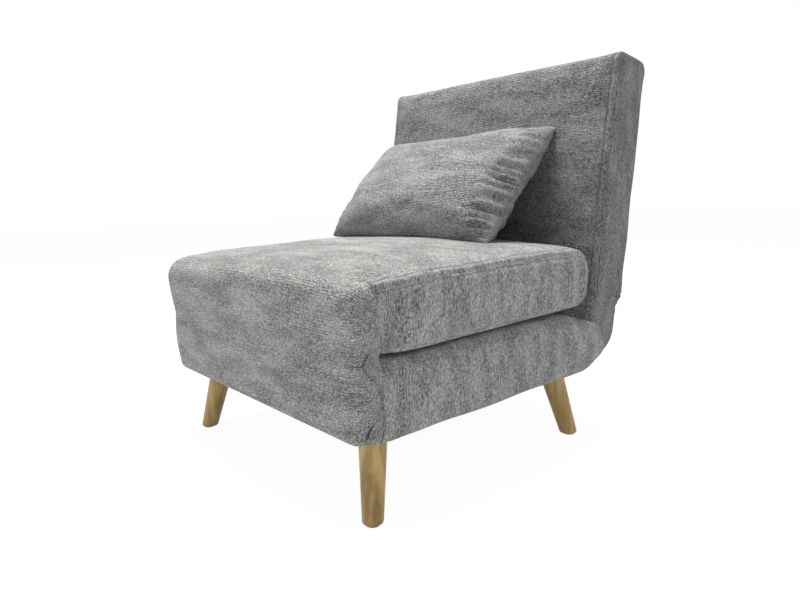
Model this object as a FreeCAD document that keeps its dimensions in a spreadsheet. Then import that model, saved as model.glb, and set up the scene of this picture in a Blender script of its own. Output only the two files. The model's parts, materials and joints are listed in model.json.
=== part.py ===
import FreeCAD, Part
import math
import os
import re

import Sketcher

# Convertible chair bed: an armless upholstered chair on four splayed wooden legs.
# The seat section turns over forwards on two hinges to become the foot of the bed,
# and the backrest lies down on ratchet hinges to become its head.
# Front is -Y, up is +Z, and every hinge line runs along X. All sizes are in millimetres.

SIZES = {
    # overall
    "overall_depth": 872,
    "overall_height": 850,
    "cushion_width": 750,
    "skin": 2,
    "skin_gap": 0.3,
    "side_round": 10,
    "play": 0.3,
    "core_gap": 0.5,
    "fit": 0.05,
    "cut_over": 1,
    "tube_wall": 1.5,
    # seat hinge line, at the pinch between the two sections
    "hinge_from_front": 82,
    "hinge_height": 297,
    "hinge_inset": 145,
    "hinge_length": 90,
    "knuckle_length": 40,
    "knuckle_radius": 6.5,
    "hinge_pin_radius": 3,
    "leaf_thickness": 3,
    "leaf_clear": 10,
    "leaf_slit_gap": 1,
    "hinge_pin_lip": 2,
    # base section
    "base_bottom": 158,
    "base_front_top": 293.5,
    "base_crown": 301,
    "base_crown_reach": 264,
    "base_shoulder_gap": 144.5,
    "base_shoulder_drop": 4,
    "base_tail_gap": 4.5,
    "base_tail_low": 196,
    "base_tail_high": 262,
    "base_tail_lean": 28,
    "base_tail_round": 20,
    "base_belly_gap": 72.5,
    "belly_round": 60,
    "core_edge_round": 4,
    "core_round": 12,
    "base_tube": 25,
    "base_frame_inset": 23,
    "base_frame_gap": 89.5,
    "plate_thickness": 4,
    "plate_side": 80,
    "lining_thickness": 1,
    "lining_edge": 110,
    "slat_thickness": 8,
    "slat_width": 50,
    # seat section
    "seat_underside_front": 301,
    "seat_rear_gap": 74.5,
    "seat_rear_bottom": 309,
    "seat_dome": 5500,
    "seat_dome_top": 450,
    "seat_dome_reach": 304,
    "seat_rear_round": 38,
    "seat_tube": 20,
    "seat_frame_inset": 30,
    "seat_frame_end": 20,
    "seat_frame_low": 358,
    "seat_rail_reach": 294,
    # front panel padding
    "front_waist": 6,
    "front_swell": 2,
    "front_swell_height": 375,
    "front_bottom_tuck": 14,
    "front_belly_height": 240,
    "front_round": 30,
    "pinch_round": 18,
    "pad_gap": 0.2,
    # backrest
    "pivot_height": 245,
    "back_tilt": 8,
    "back_thickness": 120,
    "back_top_round": 16,
    "back_end_flat": 2,
    "cradle_gap": 2,
    "ratchet_thickness": 5.7,
    "back_frame_low": 25,
    "back_frame_end": 39.6,
    "hinge_plate": 6,
    "ratchet_radius": 22,
    "ratchet_strap": 120,
    "hinge_arm_grip": 95,
    "hinge_arm_shoulder": 20,
    "back_slot": 6,
    "pin_head": 3,
    "pin_lip": 3,
    "boss_radius": 18,
    "boss_reach": 14.4,
    "recline_pin_radius": 5,
    # wooden legs
    "leg_inset": 45,
    "leg_front_inset": 62,
    "leg_rear_gap": 76.5,
    "leg_splay": 33,
    "leg_top_radius": 27,
    "leg_bottom_radius": 19,
    "leg_end_round": 4,
    "leg_spare": 20,
    "glide_radius": 13,
    "glide_thickness": 2.5,
    "bolt_radius": 4,
    "bolt_depth": 38,
    "bolt_rise": 18,
    "bolt_end_gap": 1,
    "bolt_top_gap": 4,
    # folding metal legs
    "foot_leg_radius": 8,
    "foot_leg_gap": 32.5,
    "foot_leg_height": 396,
    "foot_leg_standoff": 12,
    "foot_eye": 10,
    "bracket_half": 22,
    "bracket_top": 12,
    "foot_pin_radius": 4,
    "foot_boss_radius": 9,
    "cap_wall": 2.5,
    "cap_length": 30,
    "cap_base": 4.5,
    "floor_clear": 0.5,
    "head_leg_radius": 8,
    "head_leg_inset": 163,
    "head_leg_drop": 184.6,
    "head_leg_standoff": 14,
    "head_leg_bend": 40,
    "head_eye": 10,
    "sleeve_reach": 120,
    "sleeve_half": 18,
    "lug_thickness": 4,
    "lug_height": 18,
    # scatter pillow
    "pillow_width": 590,
    "pillow_height": 350,
    "pillow_thickness": 130,
    "pillow_edge": 8,
    "pillow_shoulder": 44.2,
    "pillow_slope": 64,
    "pillow_draw": 8,
    "pillow_rise": 4,
    "pillow_lean": 43,
    "pillow_x": -70,
    "pillow_foot_gap": 240.5,
    "pillow_foot_clear": 1.7,
    "zip_half": 2,
}

doc = FreeCAD.newDocument("ConvertibleChairBed")
sheet = doc.addObject("Spreadsheet::Sheet", "Sizes")
for row, (alias, number) in enumerate(SIZES.items(), 1):
    sheet.set("A%d" % row, alias.replace("_", " "))
    sheet.set("B%d" % row, str(number))
    sheet.setAlias("B%d" % row, alias)
doc.recompute()

# Places that follow from the sizes
PLACES = {
    "half_width": "cushion_width / 2",
    "front_y": "-overall_depth / 2",
    "hinge_y": "front_y + hinge_from_front",
    "core_front": "hinge_y + core_gap",
    "half_back": "back_thickness / 2",
    "back_round_reach": "half_back - back_top_round",
    "back_straight": "(overall_height - back_top_round - pivot_height"
    " - back_round_reach * sin(back_tilt * 1 deg)) / cos(back_tilt * 1 deg)",
    "back_length": "back_straight + back_top_round",
    "pivot_y": "overall_depth / 2 - back_top_round"
    " - back_round_reach * cos(back_tilt * 1 deg) - back_straight * sin(back_tilt * 1 deg)",
    "seat_rear": "pivot_y - seat_rear_gap",
    "seat_frame_rear": "seat_rear - seat_frame_end",
    "seat_frame_half": "half_width - seat_frame_inset",
    "seat_dome_y": "hinge_y + seat_dome_reach",
    "base_frame_rear": "pivot_y - base_frame_gap",
    "base_frame_half": "half_width - base_frame_inset",
    "base_shoulder_y": "pivot_y - base_shoulder_gap",
    "base_tail_y": "pivot_y - base_tail_gap",
    "base_belly_y": "pivot_y - base_belly_gap",
    "base_crown_y": "hinge_y + base_crown_reach",
    "hinge_reach": "half_width - hinge_inset",
    "back_frame_half": "base_frame_half - play - ratchet_thickness",
    "back_frame_high": "back_length - back_frame_end",
    "leg_reach_x": "half_width - leg_inset",
    "leg_front_y": "front_y + leg_front_inset",
    "leg_rear_y": "pivot_y - leg_rear_gap",
    "foot_leg_x": "2 * hinge_height - foot_leg_height - floor_clear + foot_leg_gap",
    "head_leg_x": "half_width - head_leg_inset",
    "head_leg_up": "back_length - head_leg_drop",
    "pillow_foot_y": "pivot_y - pillow_foot_gap",
    "pillow_foot_z": "seat_dome_top - (pillow_foot_y - seat_dome_y) ^ 2 / (2 * seat_dome)"
    " + pillow_foot_clear",
}

LEG_LENGTH = "sqrt(base_bottom ^ 2 + 2 * leg_splay ^ 2)"
LEG_PLACES = [(side, end) for end in (-1, 1) for side in (-1, 1)]

PIECES = []
START_REACH = 200
NEAR = 0.01
SHORT = 1

# Places that several pieces share, as expressions of the sizes
LEAF_FRONT = "(core_front + skin + play)"
FRAME_FRONT = "(core_front + skin + play + leaf_thickness)"
SKIN_BOTTOM = "(base_bottom + skin)"
PLATE_LOW = "(base_bottom + skin + lining_thickness + 2 * play)"
BASE_FRAME_LOW = "(%s + plate_thickness)" % PLATE_LOW
BASE_FRAME_TOP = "(%s + base_tube)" % BASE_FRAME_LOW
SEAT_FRAME_TOP = "(seat_frame_low + seat_tube)"
HINGE_PLATE_OUTER = "(base_frame_half + hinge_plate)"
FOOT_TUBE_Y = "(seat_rear + foot_leg_standoff)"
FOOT_LEG_LENGTH = "(2 * hinge_height - foot_leg_height - floor_clear)"
HEAD_TUBE_U = "(back_thickness / 2 + head_leg_standoff)"
HEAD_LEG_LENGTH = "(pivot_height - %s - head_leg_radius - cap_wall - floor_clear)" % HEAD_TUBE_U


def linked(text):
    """Turn bare size names into references to the sheet."""

    def reference(match):
        word = match.group(0)
        if word in PLACES:
            return "(%s)" % linked(PLACES[word])
        return "Sizes." + word if word in SIZES else word

    return re.sub(r"[a-z][a-z_]*", reference, str(text))


def bind(thing, **expressions):
    """Bind properties, with a double underscore standing for a dot."""
    for name, text in expressions.items():
        thing.setExpression(name.replace("__", "."), linked(text))
    return thing


def place(thing, x="0", y="0", z="0"):
    return bind(thing, Placement__Base__x=x, Placement__Base__y=y, Placement__Base__z=z)


def turn(thing, axis, angle):
    """Set the axis of the placement's turn and bind its angle in degrees."""
    thing.Placement = FreeCAD.Placement(
        thing.Placement.Base, FreeCAD.Rotation(FreeCAD.Vector(*axis), 1)
    )
    return bind(thing, Placement__Rotation__Angle="(%s) * 1 deg" % angle)


def block(x, y, z):
    """A box from three (low, high) pairs of expressions."""
    box = doc.addObject("Part::Box", "Block")
    for name, (low, high) in (("Length", x), ("Width", y), ("Height", z)):
        bind(box, **{name: "(%s) - (%s)" % (high, low)})
    return place(box, x[0], y[0], z[0])


def rod(radius, start, length, axis="Z"):
    """A cylinder that starts at a point and runs along +X, +Y or +Z."""
    cylinder = doc.addObject("Part::Cylinder", "Rod")
    bind(cylinder, Radius=radius, Height=length)
    place(cylinder, *start)
    if axis == "X":
        turn(cylinder, (0, 1, 0), "90")
    if axis == "Y":
        turn(cylinder, (-1, 0, 0), "90")
    return cylinder


def joined(parts):
    if len(parts) == 1:
        return parts[0]
    fused = doc.addObject("Part::MultiFuse", "Joined")
    fused.Shapes = parts
    return fused


def group(parts):
    """Separate solids that share one node."""
    compound = doc.addObject("Part::Compound", "Group")
    compound.Links = parts
    return compound


def less(base, *tools):
    cut = doc.addObject("Part::Cut", "Less")
    cut.Base = base
    cut.Tool = joined(list(tools))
    return cut


def piece(name, thing):
    """Name a finished sub-part and keep it for the export."""
    thing.Label = name
    PIECES.append(thing)
    return thing


def on_backrest(thing):
    """Put a piece that was drawn upright around the recline pivot in its place."""
    turn(thing, (-1, 0, 0), "back_tilt")
    return place(thing, "0", "pivot_y", "pivot_height")


def plane(body, role):
    for feature in body.Origin.OriginFeatures:
        if feature.Role == role:
            return feature
    raise ValueError("no plane " + role)


def fixed_point(sketch, curve, end, across, up):
    """Tie a point of a sketch to its two coordinates."""
    point = sketch.getPoint(curve, end)
    for kind, start, text in (("DistanceX", point.x, across), ("DistanceY", point.y, up)):
        index = sketch.addConstraint(Sketcher.Constraint(kind, -1, 1, curve, end, start))
        sketch.setExpression("Constraints[%d]" % index, linked(text))


def section(body, name, offset, corners):
    """A closed straight-sided outline in a plane of constant x."""
    sketch = body.newObject("Sketcher::SketchObject", name)
    sketch.AttachmentSupport = [(plane(body, "YZ_Plane"), "")]
    sketch.MapMode = "FlatFace"
    bind(sketch, AttachmentOffset__Base__z=offset)
    count = len(corners)
    spots = []
    for number in range(count):
        angle = 2 * math.pi * (number + 0.5) / count
        spots.append(FreeCAD.Vector(-START_REACH * math.cos(angle), -START_REACH * math.sin(angle), 0))
    for number in range(count):
        sketch.addGeometry(Part.LineSegment(spots[number], spots[(number + 1) % count]))
    for number in range(count):
        after = (number + 1) % count
        sketch.addConstraint(Sketcher.Constraint("Coincident", number, 2, after, 1))
    for number, (across, up) in enumerate(corners):
        fixed_point(sketch, number, 1, across, up)
    return sketch


def rounded(body, feature, edges, radius):
    fillet = body.newObject("PartDesign::Fillet", "Fillet")
    fillet.Base = (feature, edges)
    bind(fillet, Radius=radius)
    doc.recompute()
    return fillet


def end_edges(shape):
    """Names of the edges round the two flat ends of a form."""
    reach = max(abs(vertex.Point.x) for vertex in shape.Vertexes)
    names = []
    for number, edge in enumerate(shape.Edges, 1):
        ends = [vertex.Point.x for vertex in edge.Vertexes]
        if all(abs(abs(end) - reach) < NEAR for end in ends) and abs(ends[0] - ends[-1]) < SHORT:
            names.append("Edge%d" % number)
    return names


def edge_at(shape, spot):
    """Name of the lengthwise edge that ends nearest to a (y, z) corner."""
    best = None
    for number, edge in enumerate(shape.Edges, 1):
        ends = [vertex.Point for vertex in edge.Vertexes]
        if len(ends) != 2 or abs(ends[0].x - ends[1].x) < SHORT:
            continue
        distance = max(math.hypot(end.y - spot[0], end.z - spot[1]) for end in ends)
        if best is None or distance < best[0]:
            best = (distance, "Edge%d" % number)
    return best[1]


def dome(inset):
    """A large ball whose upper surface gives the seat its crown."""
    ball = doc.addObject("Part::Sphere", "Dome")
    bind(ball, Radius="seat_dome - (%s)" % inset)
    turn(ball, (1, 0, 0), "90")
    return place(ball, "0", "seat_dome_y", "seat_dome_top - seat_dome")


def cushion(name, corners, inset, rounds, crowned=False):
    """A padded block that runs across the width, with rounded ends.

    Each corner is (y, z, inward y, inward z), and the inset moves every corner inwards.
    The rounds are pairs of a radius and the numbers of the corners that get it.
    """
    body = doc.addObject("PartDesign::Body", name)
    half = "(half_width - %s)" % inset
    outline = []
    for y, z, inward_y, inward_z in corners:
        outline.append(("%s + (%s) * %s" % (y, inset, inward_y), "%s + (%s) * %s" % (z, inset, inward_z)))
    sketch = section(body, name + "Outline", "-" + half, outline)
    pad = body.newObject("PartDesign::Pad", "Pad")
    pad.Profile = sketch
    bind(pad, Length="2 * " + half)
    doc.recompute()
    feature = pad
    if crowned:
        common = doc.addObject("Part::Common", name + "Crowned")
        common.Base = body
        common.Tool = dome(inset)
        doc.recompute()
        body = doc.addObject("PartDesign::Body", name + "Rounded")
        body.BaseFeature = common
        doc.recompute()
        feature = body.Tip
    for radius, numbers in rounds:
        edges = []
        for number in numbers:
            point = sketch.getPoint(number, 1)
            spot = (point.x, min(point.y, feature.Shape.BoundBox.ZMax))
            edges.append(edge_at(feature.Shape, spot))
        feature = rounded(body, feature, edges, "%s - %s" % (radius, inset))
    rounded(body, feature, end_edges(feature.Shape), "side_round - %s" % inset)
    return body


def rail_frame(half, low, tube, ends, crossings):
    """A welded frame of square tube lying flat: two side rails and rails across."""
    inner = "(%s - %s)" % (half, tube)
    heights = (low, "%s + %s" % (low, tube))
    rails = [(("-" + half, "-" + inner), ends), ((inner, half), ends)]
    for start in crossings:
        rails.append((("-" + inner, inner), (start, "%s + %s" % (start, tube))))
    bars = []
    hollows = []
    for number, (x, y) in enumerate(rails):
        bars.append(block(x, y, heights))
        hollow = [shrunk(x), y, shrunk(heights)] if number < 2 else [x, shrunk(y), shrunk(heights)]
        hollows.append(block(*hollow))
    return less(joined(bars), *hollows)


def shrunk(pair):
    """The space inside a tube between its two walls."""
    return ("%s + tube_wall" % pair[0], "%s - tube_wall" % pair[1])


def slats(count, half, start, end, low):
    """Flat sprung slats, evenly spaced from one end of a frame to the other."""
    boards = []
    for number in range(count):
        share = number / (count - 1)
        y = "%s + (%s - slat_width - %s) * %.6f" % (start, end, start, share)
        boards.append(block(("-" + half, half), (y, y + " + slat_width"), (low, low + " + slat_thickness")))
    return group(boards)


def plate(name, corners, x_low, x_high):
    """A flat plate cut to an outline in a plane of constant x."""
    body = doc.addObject("PartDesign::Body", name)
    outline = section(body, "Outline" + name, x_low, corners)
    pad = body.newObject("PartDesign::Pad", "Pad")
    pad.Profile = outline
    bind(pad, Length="(%s) - (%s)" % (x_high, x_low))
    doc.recompute()
    return body


def mirrored(side, low, high):
    """A range of x on the left (-1) or right (1) side."""
    return (low, high) if side > 0 else ("-(%s)" % high, "-(%s)" % low)


# Outlines of the padded sections, seen from the right-hand side

BASE_CORNERS = [
    ("core_front", "base_bottom", 1, 1),
    ("base_belly_y", "base_bottom", 0, 1),
    ("base_tail_y", "base_tail_low", -1, 1),
    ("(base_tail_y - base_tail_lean)", "base_tail_high", -1, -1),
    ("base_shoulder_y", "(base_crown - base_shoulder_drop)", 0, -1),
    ("base_crown_y", "base_crown", 0, -1),
    ("core_front", "base_front_top", 1, -1),
]
BASE_ROUNDS = [
    ("core_edge_round", [0]),
    ("core_round", [6]),
    ("belly_round", [1, 4]),
    ("base_tail_round", [2, 3]),
]

SEAT_CORNERS = [
    ("core_front", "seat_underside_front", 1, 1),
    ("seat_rear", "seat_rear_bottom", -1, 1),
    ("seat_rear", "seat_dome_top", -1, 0),
    ("core_front", "seat_dome_top", 1, 0),
]
SEAT_ROUNDS = [("core_round", [0, 3]), ("seat_rear_round", [1, 2])]

BACK_CORNERS = [
    ("-half_back", "-half_back", 1, 1),
    ("half_back", "-half_back", -1, 1),
    ("half_back", "back_length", -1, -1),
    ("-half_back", "back_length", 1, -1),
]
BACK_ROUNDS = [("(half_back - back_end_flat)", [0, 1]), ("back_top_round", [2, 3])]

PAD_REAR = "(hinge_y + pad_gap)"
UPPER_PAD_CORNERS = [
    (PAD_REAR, "(hinge_height + play / 2)", 0, 0),
    ("(front_y + front_waist)", "(hinge_height + play / 2)", 0, 0),
    ("front_y", "front_swell_height", 0, 0),
    ("front_y", "seat_dome_top", 0, 0),
    (PAD_REAR, "seat_dome_top", 0, 0),
]
UPPER_PAD_ROUNDS = [("pinch_round", [0]), ("core_round", [1]), ("front_round", [3])]
LOWER_PAD_CORNERS = [
    (PAD_REAR, "base_bottom", 0, 0),
    ("(front_y + front_bottom_tuck)", "base_bottom", 0, 0),
    ("(front_y + front_swell)", "front_belly_height", 0, 0),
    ("(front_y + front_waist)", "(hinge_height - play / 2)", 0, 0),
    (PAD_REAR, "(hinge_height - play / 2)", 0, 0),
]
LOWER_PAD_ROUNDS = [("core_round", [1, 3]), ("pinch_round", [4])]


def cradle(grow):
    """The space that the backrest's round lower end turns in."""
    reach = "(half_back + cradle_gap + %s)" % grow
    wide = "(half_width + cut_over)"
    round_end = rod(reach, ("-" + wide, "0", "0"), "2 * " + wide, "X")
    upright = block(("-" + wide, wide), ("-" + reach, reach), ("0", "2 * " + reach))
    return on_backrest(joined([round_end, upright]))


def base_shape(inset):
    return less(cushion("BaseForm", BASE_CORNERS, inset, BASE_ROUNDS), cradle(inset))


def arm_corners(margin):
    """Outline of the recline hinge's fixed arm, from the base frame up to the pivot."""
    start = "(base_frame_rear - hinge_arm_grip - %s)" % margin
    low = "(%s - %s)" % (BASE_FRAME_LOW, margin)
    return [
        (start, low),
        ("(base_frame_rear + %s)" % margin, low),
        ("(pivot_y + boss_reach + %s)" % margin, "(pivot_height - boss_radius / 2 - %s)" % margin),
        ("(pivot_y - boss_reach - %s)" % margin, "(pivot_height + boss_radius / 2 + %s)" % margin),
        ("(base_frame_rear - hinge_arm_shoulder)", "(%s + %s)" % (BASE_FRAME_TOP, margin)),
        (start, "(%s + %s)" % (BASE_FRAME_TOP, margin)),
    ]


def arm_slots():
    slots = []
    for side in (-1, 1):
        x = mirrored(side, HINGE_PLATE_OUTER + " - hinge_plate - play", HINGE_PLATE_OUTER + " + play")
        slots.append(plate("ArmSlot", arm_corners("play"), *x))
    return slots


def hinge_range(side, extra="0"):
    """The stretch of x that a seat hinge takes up."""
    half = "(hinge_length / 2 + %s)" % extra
    return mirrored(side, "hinge_reach - " + half, "hinge_reach + " + half)


def leaf_slots(low, high):
    """Slits that let the hinge leaves into a cushion."""
    y = ("%s - play" % LEAF_FRONT, "%s + play" % FRAME_FRONT)
    return [block(hinge_range(side, "leaf_slit_gap"), y, (low, high)) for side in (-1, 1)]


def along_leg(thing, side, end, distance):
    """Stand a piece on a leg's axis, a distance up from the middle of its foot."""
    turn(thing, (end, -side, 0), "atan(leg_splay * sqrt(2) / base_bottom) / 1 deg")
    foot_y = "leg_rear_y" if end > 0 else "leg_front_y"
    x = "%d * (leg_reach_x - leg_splay * (%s) / %s)" % (side, distance, LEG_LENGTH)
    y = "%s - %d * leg_splay * (%s) / %s" % (foot_y, end, distance, LEG_LENGTH)
    return place(thing, x, y, "base_bottom * (%s) / %s" % (distance, LEG_LENGTH))


def leg_name(side, end):
    return "%s_%s" % ("rear" if end > 0 else "front", "right" if side > 0 else "left")


def leg_bolts(radius, depth, rise):
    """Rods along the four leg axes, from inside each leg up through its plate."""
    rods = []
    for side, end in LEG_PLACES:
        bolt = doc.addObject("Part::Cylinder", "Bolt")
        bind(bolt, Radius=radius, Height="%s + %s" % (depth, rise))
        rods.append(along_leg(bolt, side, end, "%s - %s" % (LEG_LENGTH, depth)))
    return rods


def bolt_holes():
    return leg_bolts("bolt_radius + 2 * fit", "(bolt_depth + bolt_end_gap)", "(bolt_rise + bolt_top_gap)")


def make_legs():
    for side, end in LEG_PLACES:
        cone = doc.addObject("Part::Cone", "LegCone")
        taper = "(leg_top_radius - leg_bottom_radius) / %s" % LEG_LENGTH
        bind(
            cone,
            Radius1="leg_bottom_radius - leg_spare * " + taper,
            Radius2="leg_top_radius + leg_spare * " + taper,
            Height=LEG_LENGTH + " + 2 * leg_spare",
        )
        along_leg(cone, side, end, "-leg_spare")
        wide = ("-overall_depth", "overall_depth")
        above = block(wide, wide, ("base_bottom - play", "base_bottom + 3 * leg_spare"))
        below = block(wide, wide, ("-3 * leg_spare", "glide_thickness"))
        trimmed = less(cone, above, below, *bolt_holes())
        doc.recompute()
        foot_edges = []
        for number, edge in enumerate(trimmed.Shape.Edges, 1):
            if edge.BoundBox.ZMax < SIZES["glide_thickness"] + NEAR:
                foot_edges.append((number, SIZES["leg_end_round"], SIZES["leg_end_round"]))
        leg = doc.addObject("Part::Fillet", "Leg")
        leg.Base = trimmed
        leg.Edges = foot_edges
        piece("leg_" + leg_name(side, end), leg)

    piece("leg_bolts", group(leg_bolts("bolt_radius", "bolt_depth", "bolt_rise")))

    glides = []
    for side, end in LEG_PLACES:
        foot = ("%d * leg_reach_x" % side, "leg_rear_y" if end > 0 else "leg_front_y", "0")
        glides.append(rod("glide_radius", foot, "glide_thickness"))
    piece("leg_glides", group(glides))

    plates = []
    for side, end in LEG_PLACES:
        x = mirrored(side, "base_frame_half - plate_side", "base_frame_half")
        y = (FRAME_FRONT, FRAME_FRONT + " + plate_side")
        if end > 0:
            y = ("base_frame_rear - plate_side", "base_frame_rear")
        plates.append(less(block(x, y, (PLATE_LOW, BASE_FRAME_LOW)), *bolt_holes()))
    piece("leg_plates", group(plates))


def make_base():
    frame = rail_frame(
        "base_frame_half",
        BASE_FRAME_LOW,
        "base_tube",
        (FRAME_FRONT, "base_frame_rear"),
        (FRAME_FRONT, "base_crown_y", "base_frame_rear - base_tube"),
    )
    piece("base_frame", less(frame, *bolt_holes()))
    slat_half = "(base_frame_half - tube_wall)"
    piece("base_slats", slats(8, slat_half, FRAME_FRONT, "base_frame_rear", BASE_FRAME_TOP))

    lining_half = "(base_frame_half - tube_wall)"
    lining_low = "(%s + play)" % SKIN_BOTTOM
    lining = block(
        ("-" + lining_half, lining_half),
        (FRAME_FRONT, "base_frame_rear"),
        (lining_low, lining_low + " + lining_thickness"),
    )
    piece("base_underlining", less(lining, *bolt_holes()))

    opening_half = "(base_frame_half - lining_edge)"
    opening = block(
        ("-" + opening_half, opening_half),
        (FRAME_FRONT + " + lining_edge", "base_frame_rear - lining_edge"),
        ("base_bottom - cut_over", SKIN_BOTTOM + " + play"),
    )
    slits = leaf_slots("base_front_top - core_round", "hinge_height")
    cover = less(base_shape("0"), base_shape("skin"), opening, *slits, *arm_slots(), *bolt_holes())
    piece("base_cover", cover)

    room_half = "(base_frame_half + play)"
    room = block(
        ("-" + room_half, room_half),
        ("front_y", "base_frame_rear + play"),
        ("0", "%s + slat_thickness + play" % BASE_FRAME_TOP),
    )
    slits = leaf_slots("base_bottom", "hinge_height")
    foam = less(base_shape("(skin + skin_gap)"), room, *slits, *arm_slots())
    piece("base_foam", foam)
    piece("front_pad_lower", cushion("LowerPad", LOWER_PAD_CORNERS, "0", LOWER_PAD_ROUNDS))


def knuckles(spans, leaf_low, leaf_high):
    """Rolled ends of a hinge leaf, with the strip that ties each one to the leaf."""
    parts = []
    for low, high in spans:
        length = "(%s) - (%s)" % (high, low)
        parts.append(rod("knuckle_radius", (low, "hinge_y", "hinge_height"), length, "X"))
        parts.append(block((low, high), (LEAF_FRONT, FRAME_FRONT), (leaf_low, leaf_high)))
    return parts


def make_seat_hinges():
    """Butt hinges at the pinch line: a leaf on each frame, three knuckles and a pin."""
    leaf_y = (LEAF_FRONT, FRAME_FRONT)
    for side, word in ((-1, "left"), (1, "right")):
        whole = hinge_range(side)
        middle = mirrored(side, "hinge_reach - knuckle_length / 2", "hinge_reach + knuckle_length / 2")
        first = (whole[0], "%s - play" % middle[0])
        last = ("%s + play" % middle[1], whole[1])
        bore_start = "%s - cut_over" % whole[0]
        bore_length = "hinge_length + 2 * cut_over"
        start = (bore_start, "hinge_y", "hinge_height")
        fixed_end = "hinge_height - leaf_clear"
        fixed = block(whole, leaf_y, (BASE_FRAME_LOW, fixed_end))
        bore = rod("hinge_pin_radius + fit", start, bore_length, "X")
        rolled = knuckles((first, last), fixed_end, "hinge_height")
        piece("seat_hinge_base_" + word, less(joined([fixed] + rolled), bore))
        moving_end = "hinge_height + leaf_clear"
        moving = block(whole, leaf_y, (moving_end, SEAT_FRAME_TOP))
        rolled = knuckles((middle,), "hinge_height", moving_end)
        bore = rod("hinge_pin_radius + fit", start, bore_length, "X")
        piece("seat_hinge_seat_" + word, less(joined([moving] + rolled), bore))
        pin_start = "%s - play - pin_head" % whole[0]
        heads = "(hinge_length + 2 * play + pin_head)"
        near = (pin_start, "hinge_y", "hinge_height")
        far = (pin_start + " + " + heads, "hinge_y", "hinge_height")
        pin = [
            rod("hinge_pin_radius", near, heads + " + pin_head", "X"),
            rod("hinge_pin_radius + hinge_pin_lip", near, "pin_head", "X"),
            rod("hinge_pin_radius + hinge_pin_lip", far, "pin_head", "X"),
        ]
        piece("seat_hinge_pin_" + word, joined(pin))


def make_seat():
    frame = rail_frame(
        "seat_frame_half",
        "seat_frame_low",
        "seat_tube",
        (FRAME_FRONT, "seat_frame_rear"),
        (FRAME_FRONT, "hinge_y + seat_rail_reach", "seat_frame_rear - seat_tube"),
    )
    piece("seat_frame", frame)
    slat_half = "(seat_frame_half - tube_wall)"
    piece("seat_slats", slats(7, slat_half, FRAME_FRONT, "seat_frame_rear", SEAT_FRAME_TOP))

    slits = leaf_slots("hinge_height", "seat_underside_front + core_round")
    outer = cushion("SeatForm", SEAT_CORNERS, "0", SEAT_ROUNDS, True)
    inner = cushion("SeatForm", SEAT_CORNERS, "skin", SEAT_ROUNDS, True)
    piece("seat_cover", less(outer, inner, *slits, *foot_boss_holes()))

    room_half = "(seat_frame_half + play)"
    split = "(seat_frame_low + seat_tube / 2)"
    everywhere = ("-overall_depth", "overall_depth")
    halves = (
        ("seat_foam_upper", ("0", split)),
        ("seat_foam_lower", (split + " - play", "overall_height")),
    )
    for name, other_half in halves:
        room = block(
            ("-" + room_half, room_half),
            ("front_y", "seat_frame_rear + play"),
            ("seat_frame_low - play", "%s + slat_thickness + play" % SEAT_FRAME_TOP),
        )
        slits = leaf_slots("hinge_height", "%s + play" % SEAT_FRAME_TOP)
        form = cushion("SeatForm", SEAT_CORNERS, "(skin + skin_gap)", SEAT_ROUNDS, True)
        rest = block(everywhere, everywhere, other_half)
        piece(name, less(form, rest, room, *slits, *foot_boss_holes(), *foot_bracket_rooms()))
    piece("front_pad_upper", cushion("UpperPad", UPPER_PAD_CORNERS, "0", UPPER_PAD_ROUNDS, True))


def foot_bracket_block(side, margin):
    x = mirrored(side, "foot_leg_x - bracket_half", "foot_leg_x + bracket_half")
    return block(
        ("%s - %s" % (x[0], margin), "%s + %s" % (x[1], margin)),
        ("seat_frame_rear", "seat_frame_rear + plate_thickness + " + margin),
        ("seat_frame_low - " + margin, "foot_leg_height + bracket_top + " + margin),
    )


def foot_bracket_rooms():
    return [foot_bracket_block(side, "play") for side in (-1, 1)]


def foot_rod(side, radius, start, end):
    """A cylinder along Y on a foot leg's pivot."""
    place_at = ("%d * foot_leg_x" % side, start, "foot_leg_height")
    return rod(radius, place_at, "(%s) - (%s)" % (end, start), "Y")


def foot_boss_holes():
    holes = []
    for side in (-1, 1):
        holes.append(foot_rod(side, "foot_boss_radius + play", "seat_frame_rear", "seat_rear + play"))
    return holes


def foot_bar(side, radius, low, high):
    """A cylinder along X on a folded foot leg's tube."""
    x = mirrored(side, low, high)
    return rod(radius, (x[0], FOOT_TUBE_Y, "foot_leg_height"), "(%s) - (%s)" % (x[1], x[0]), "X")


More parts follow.
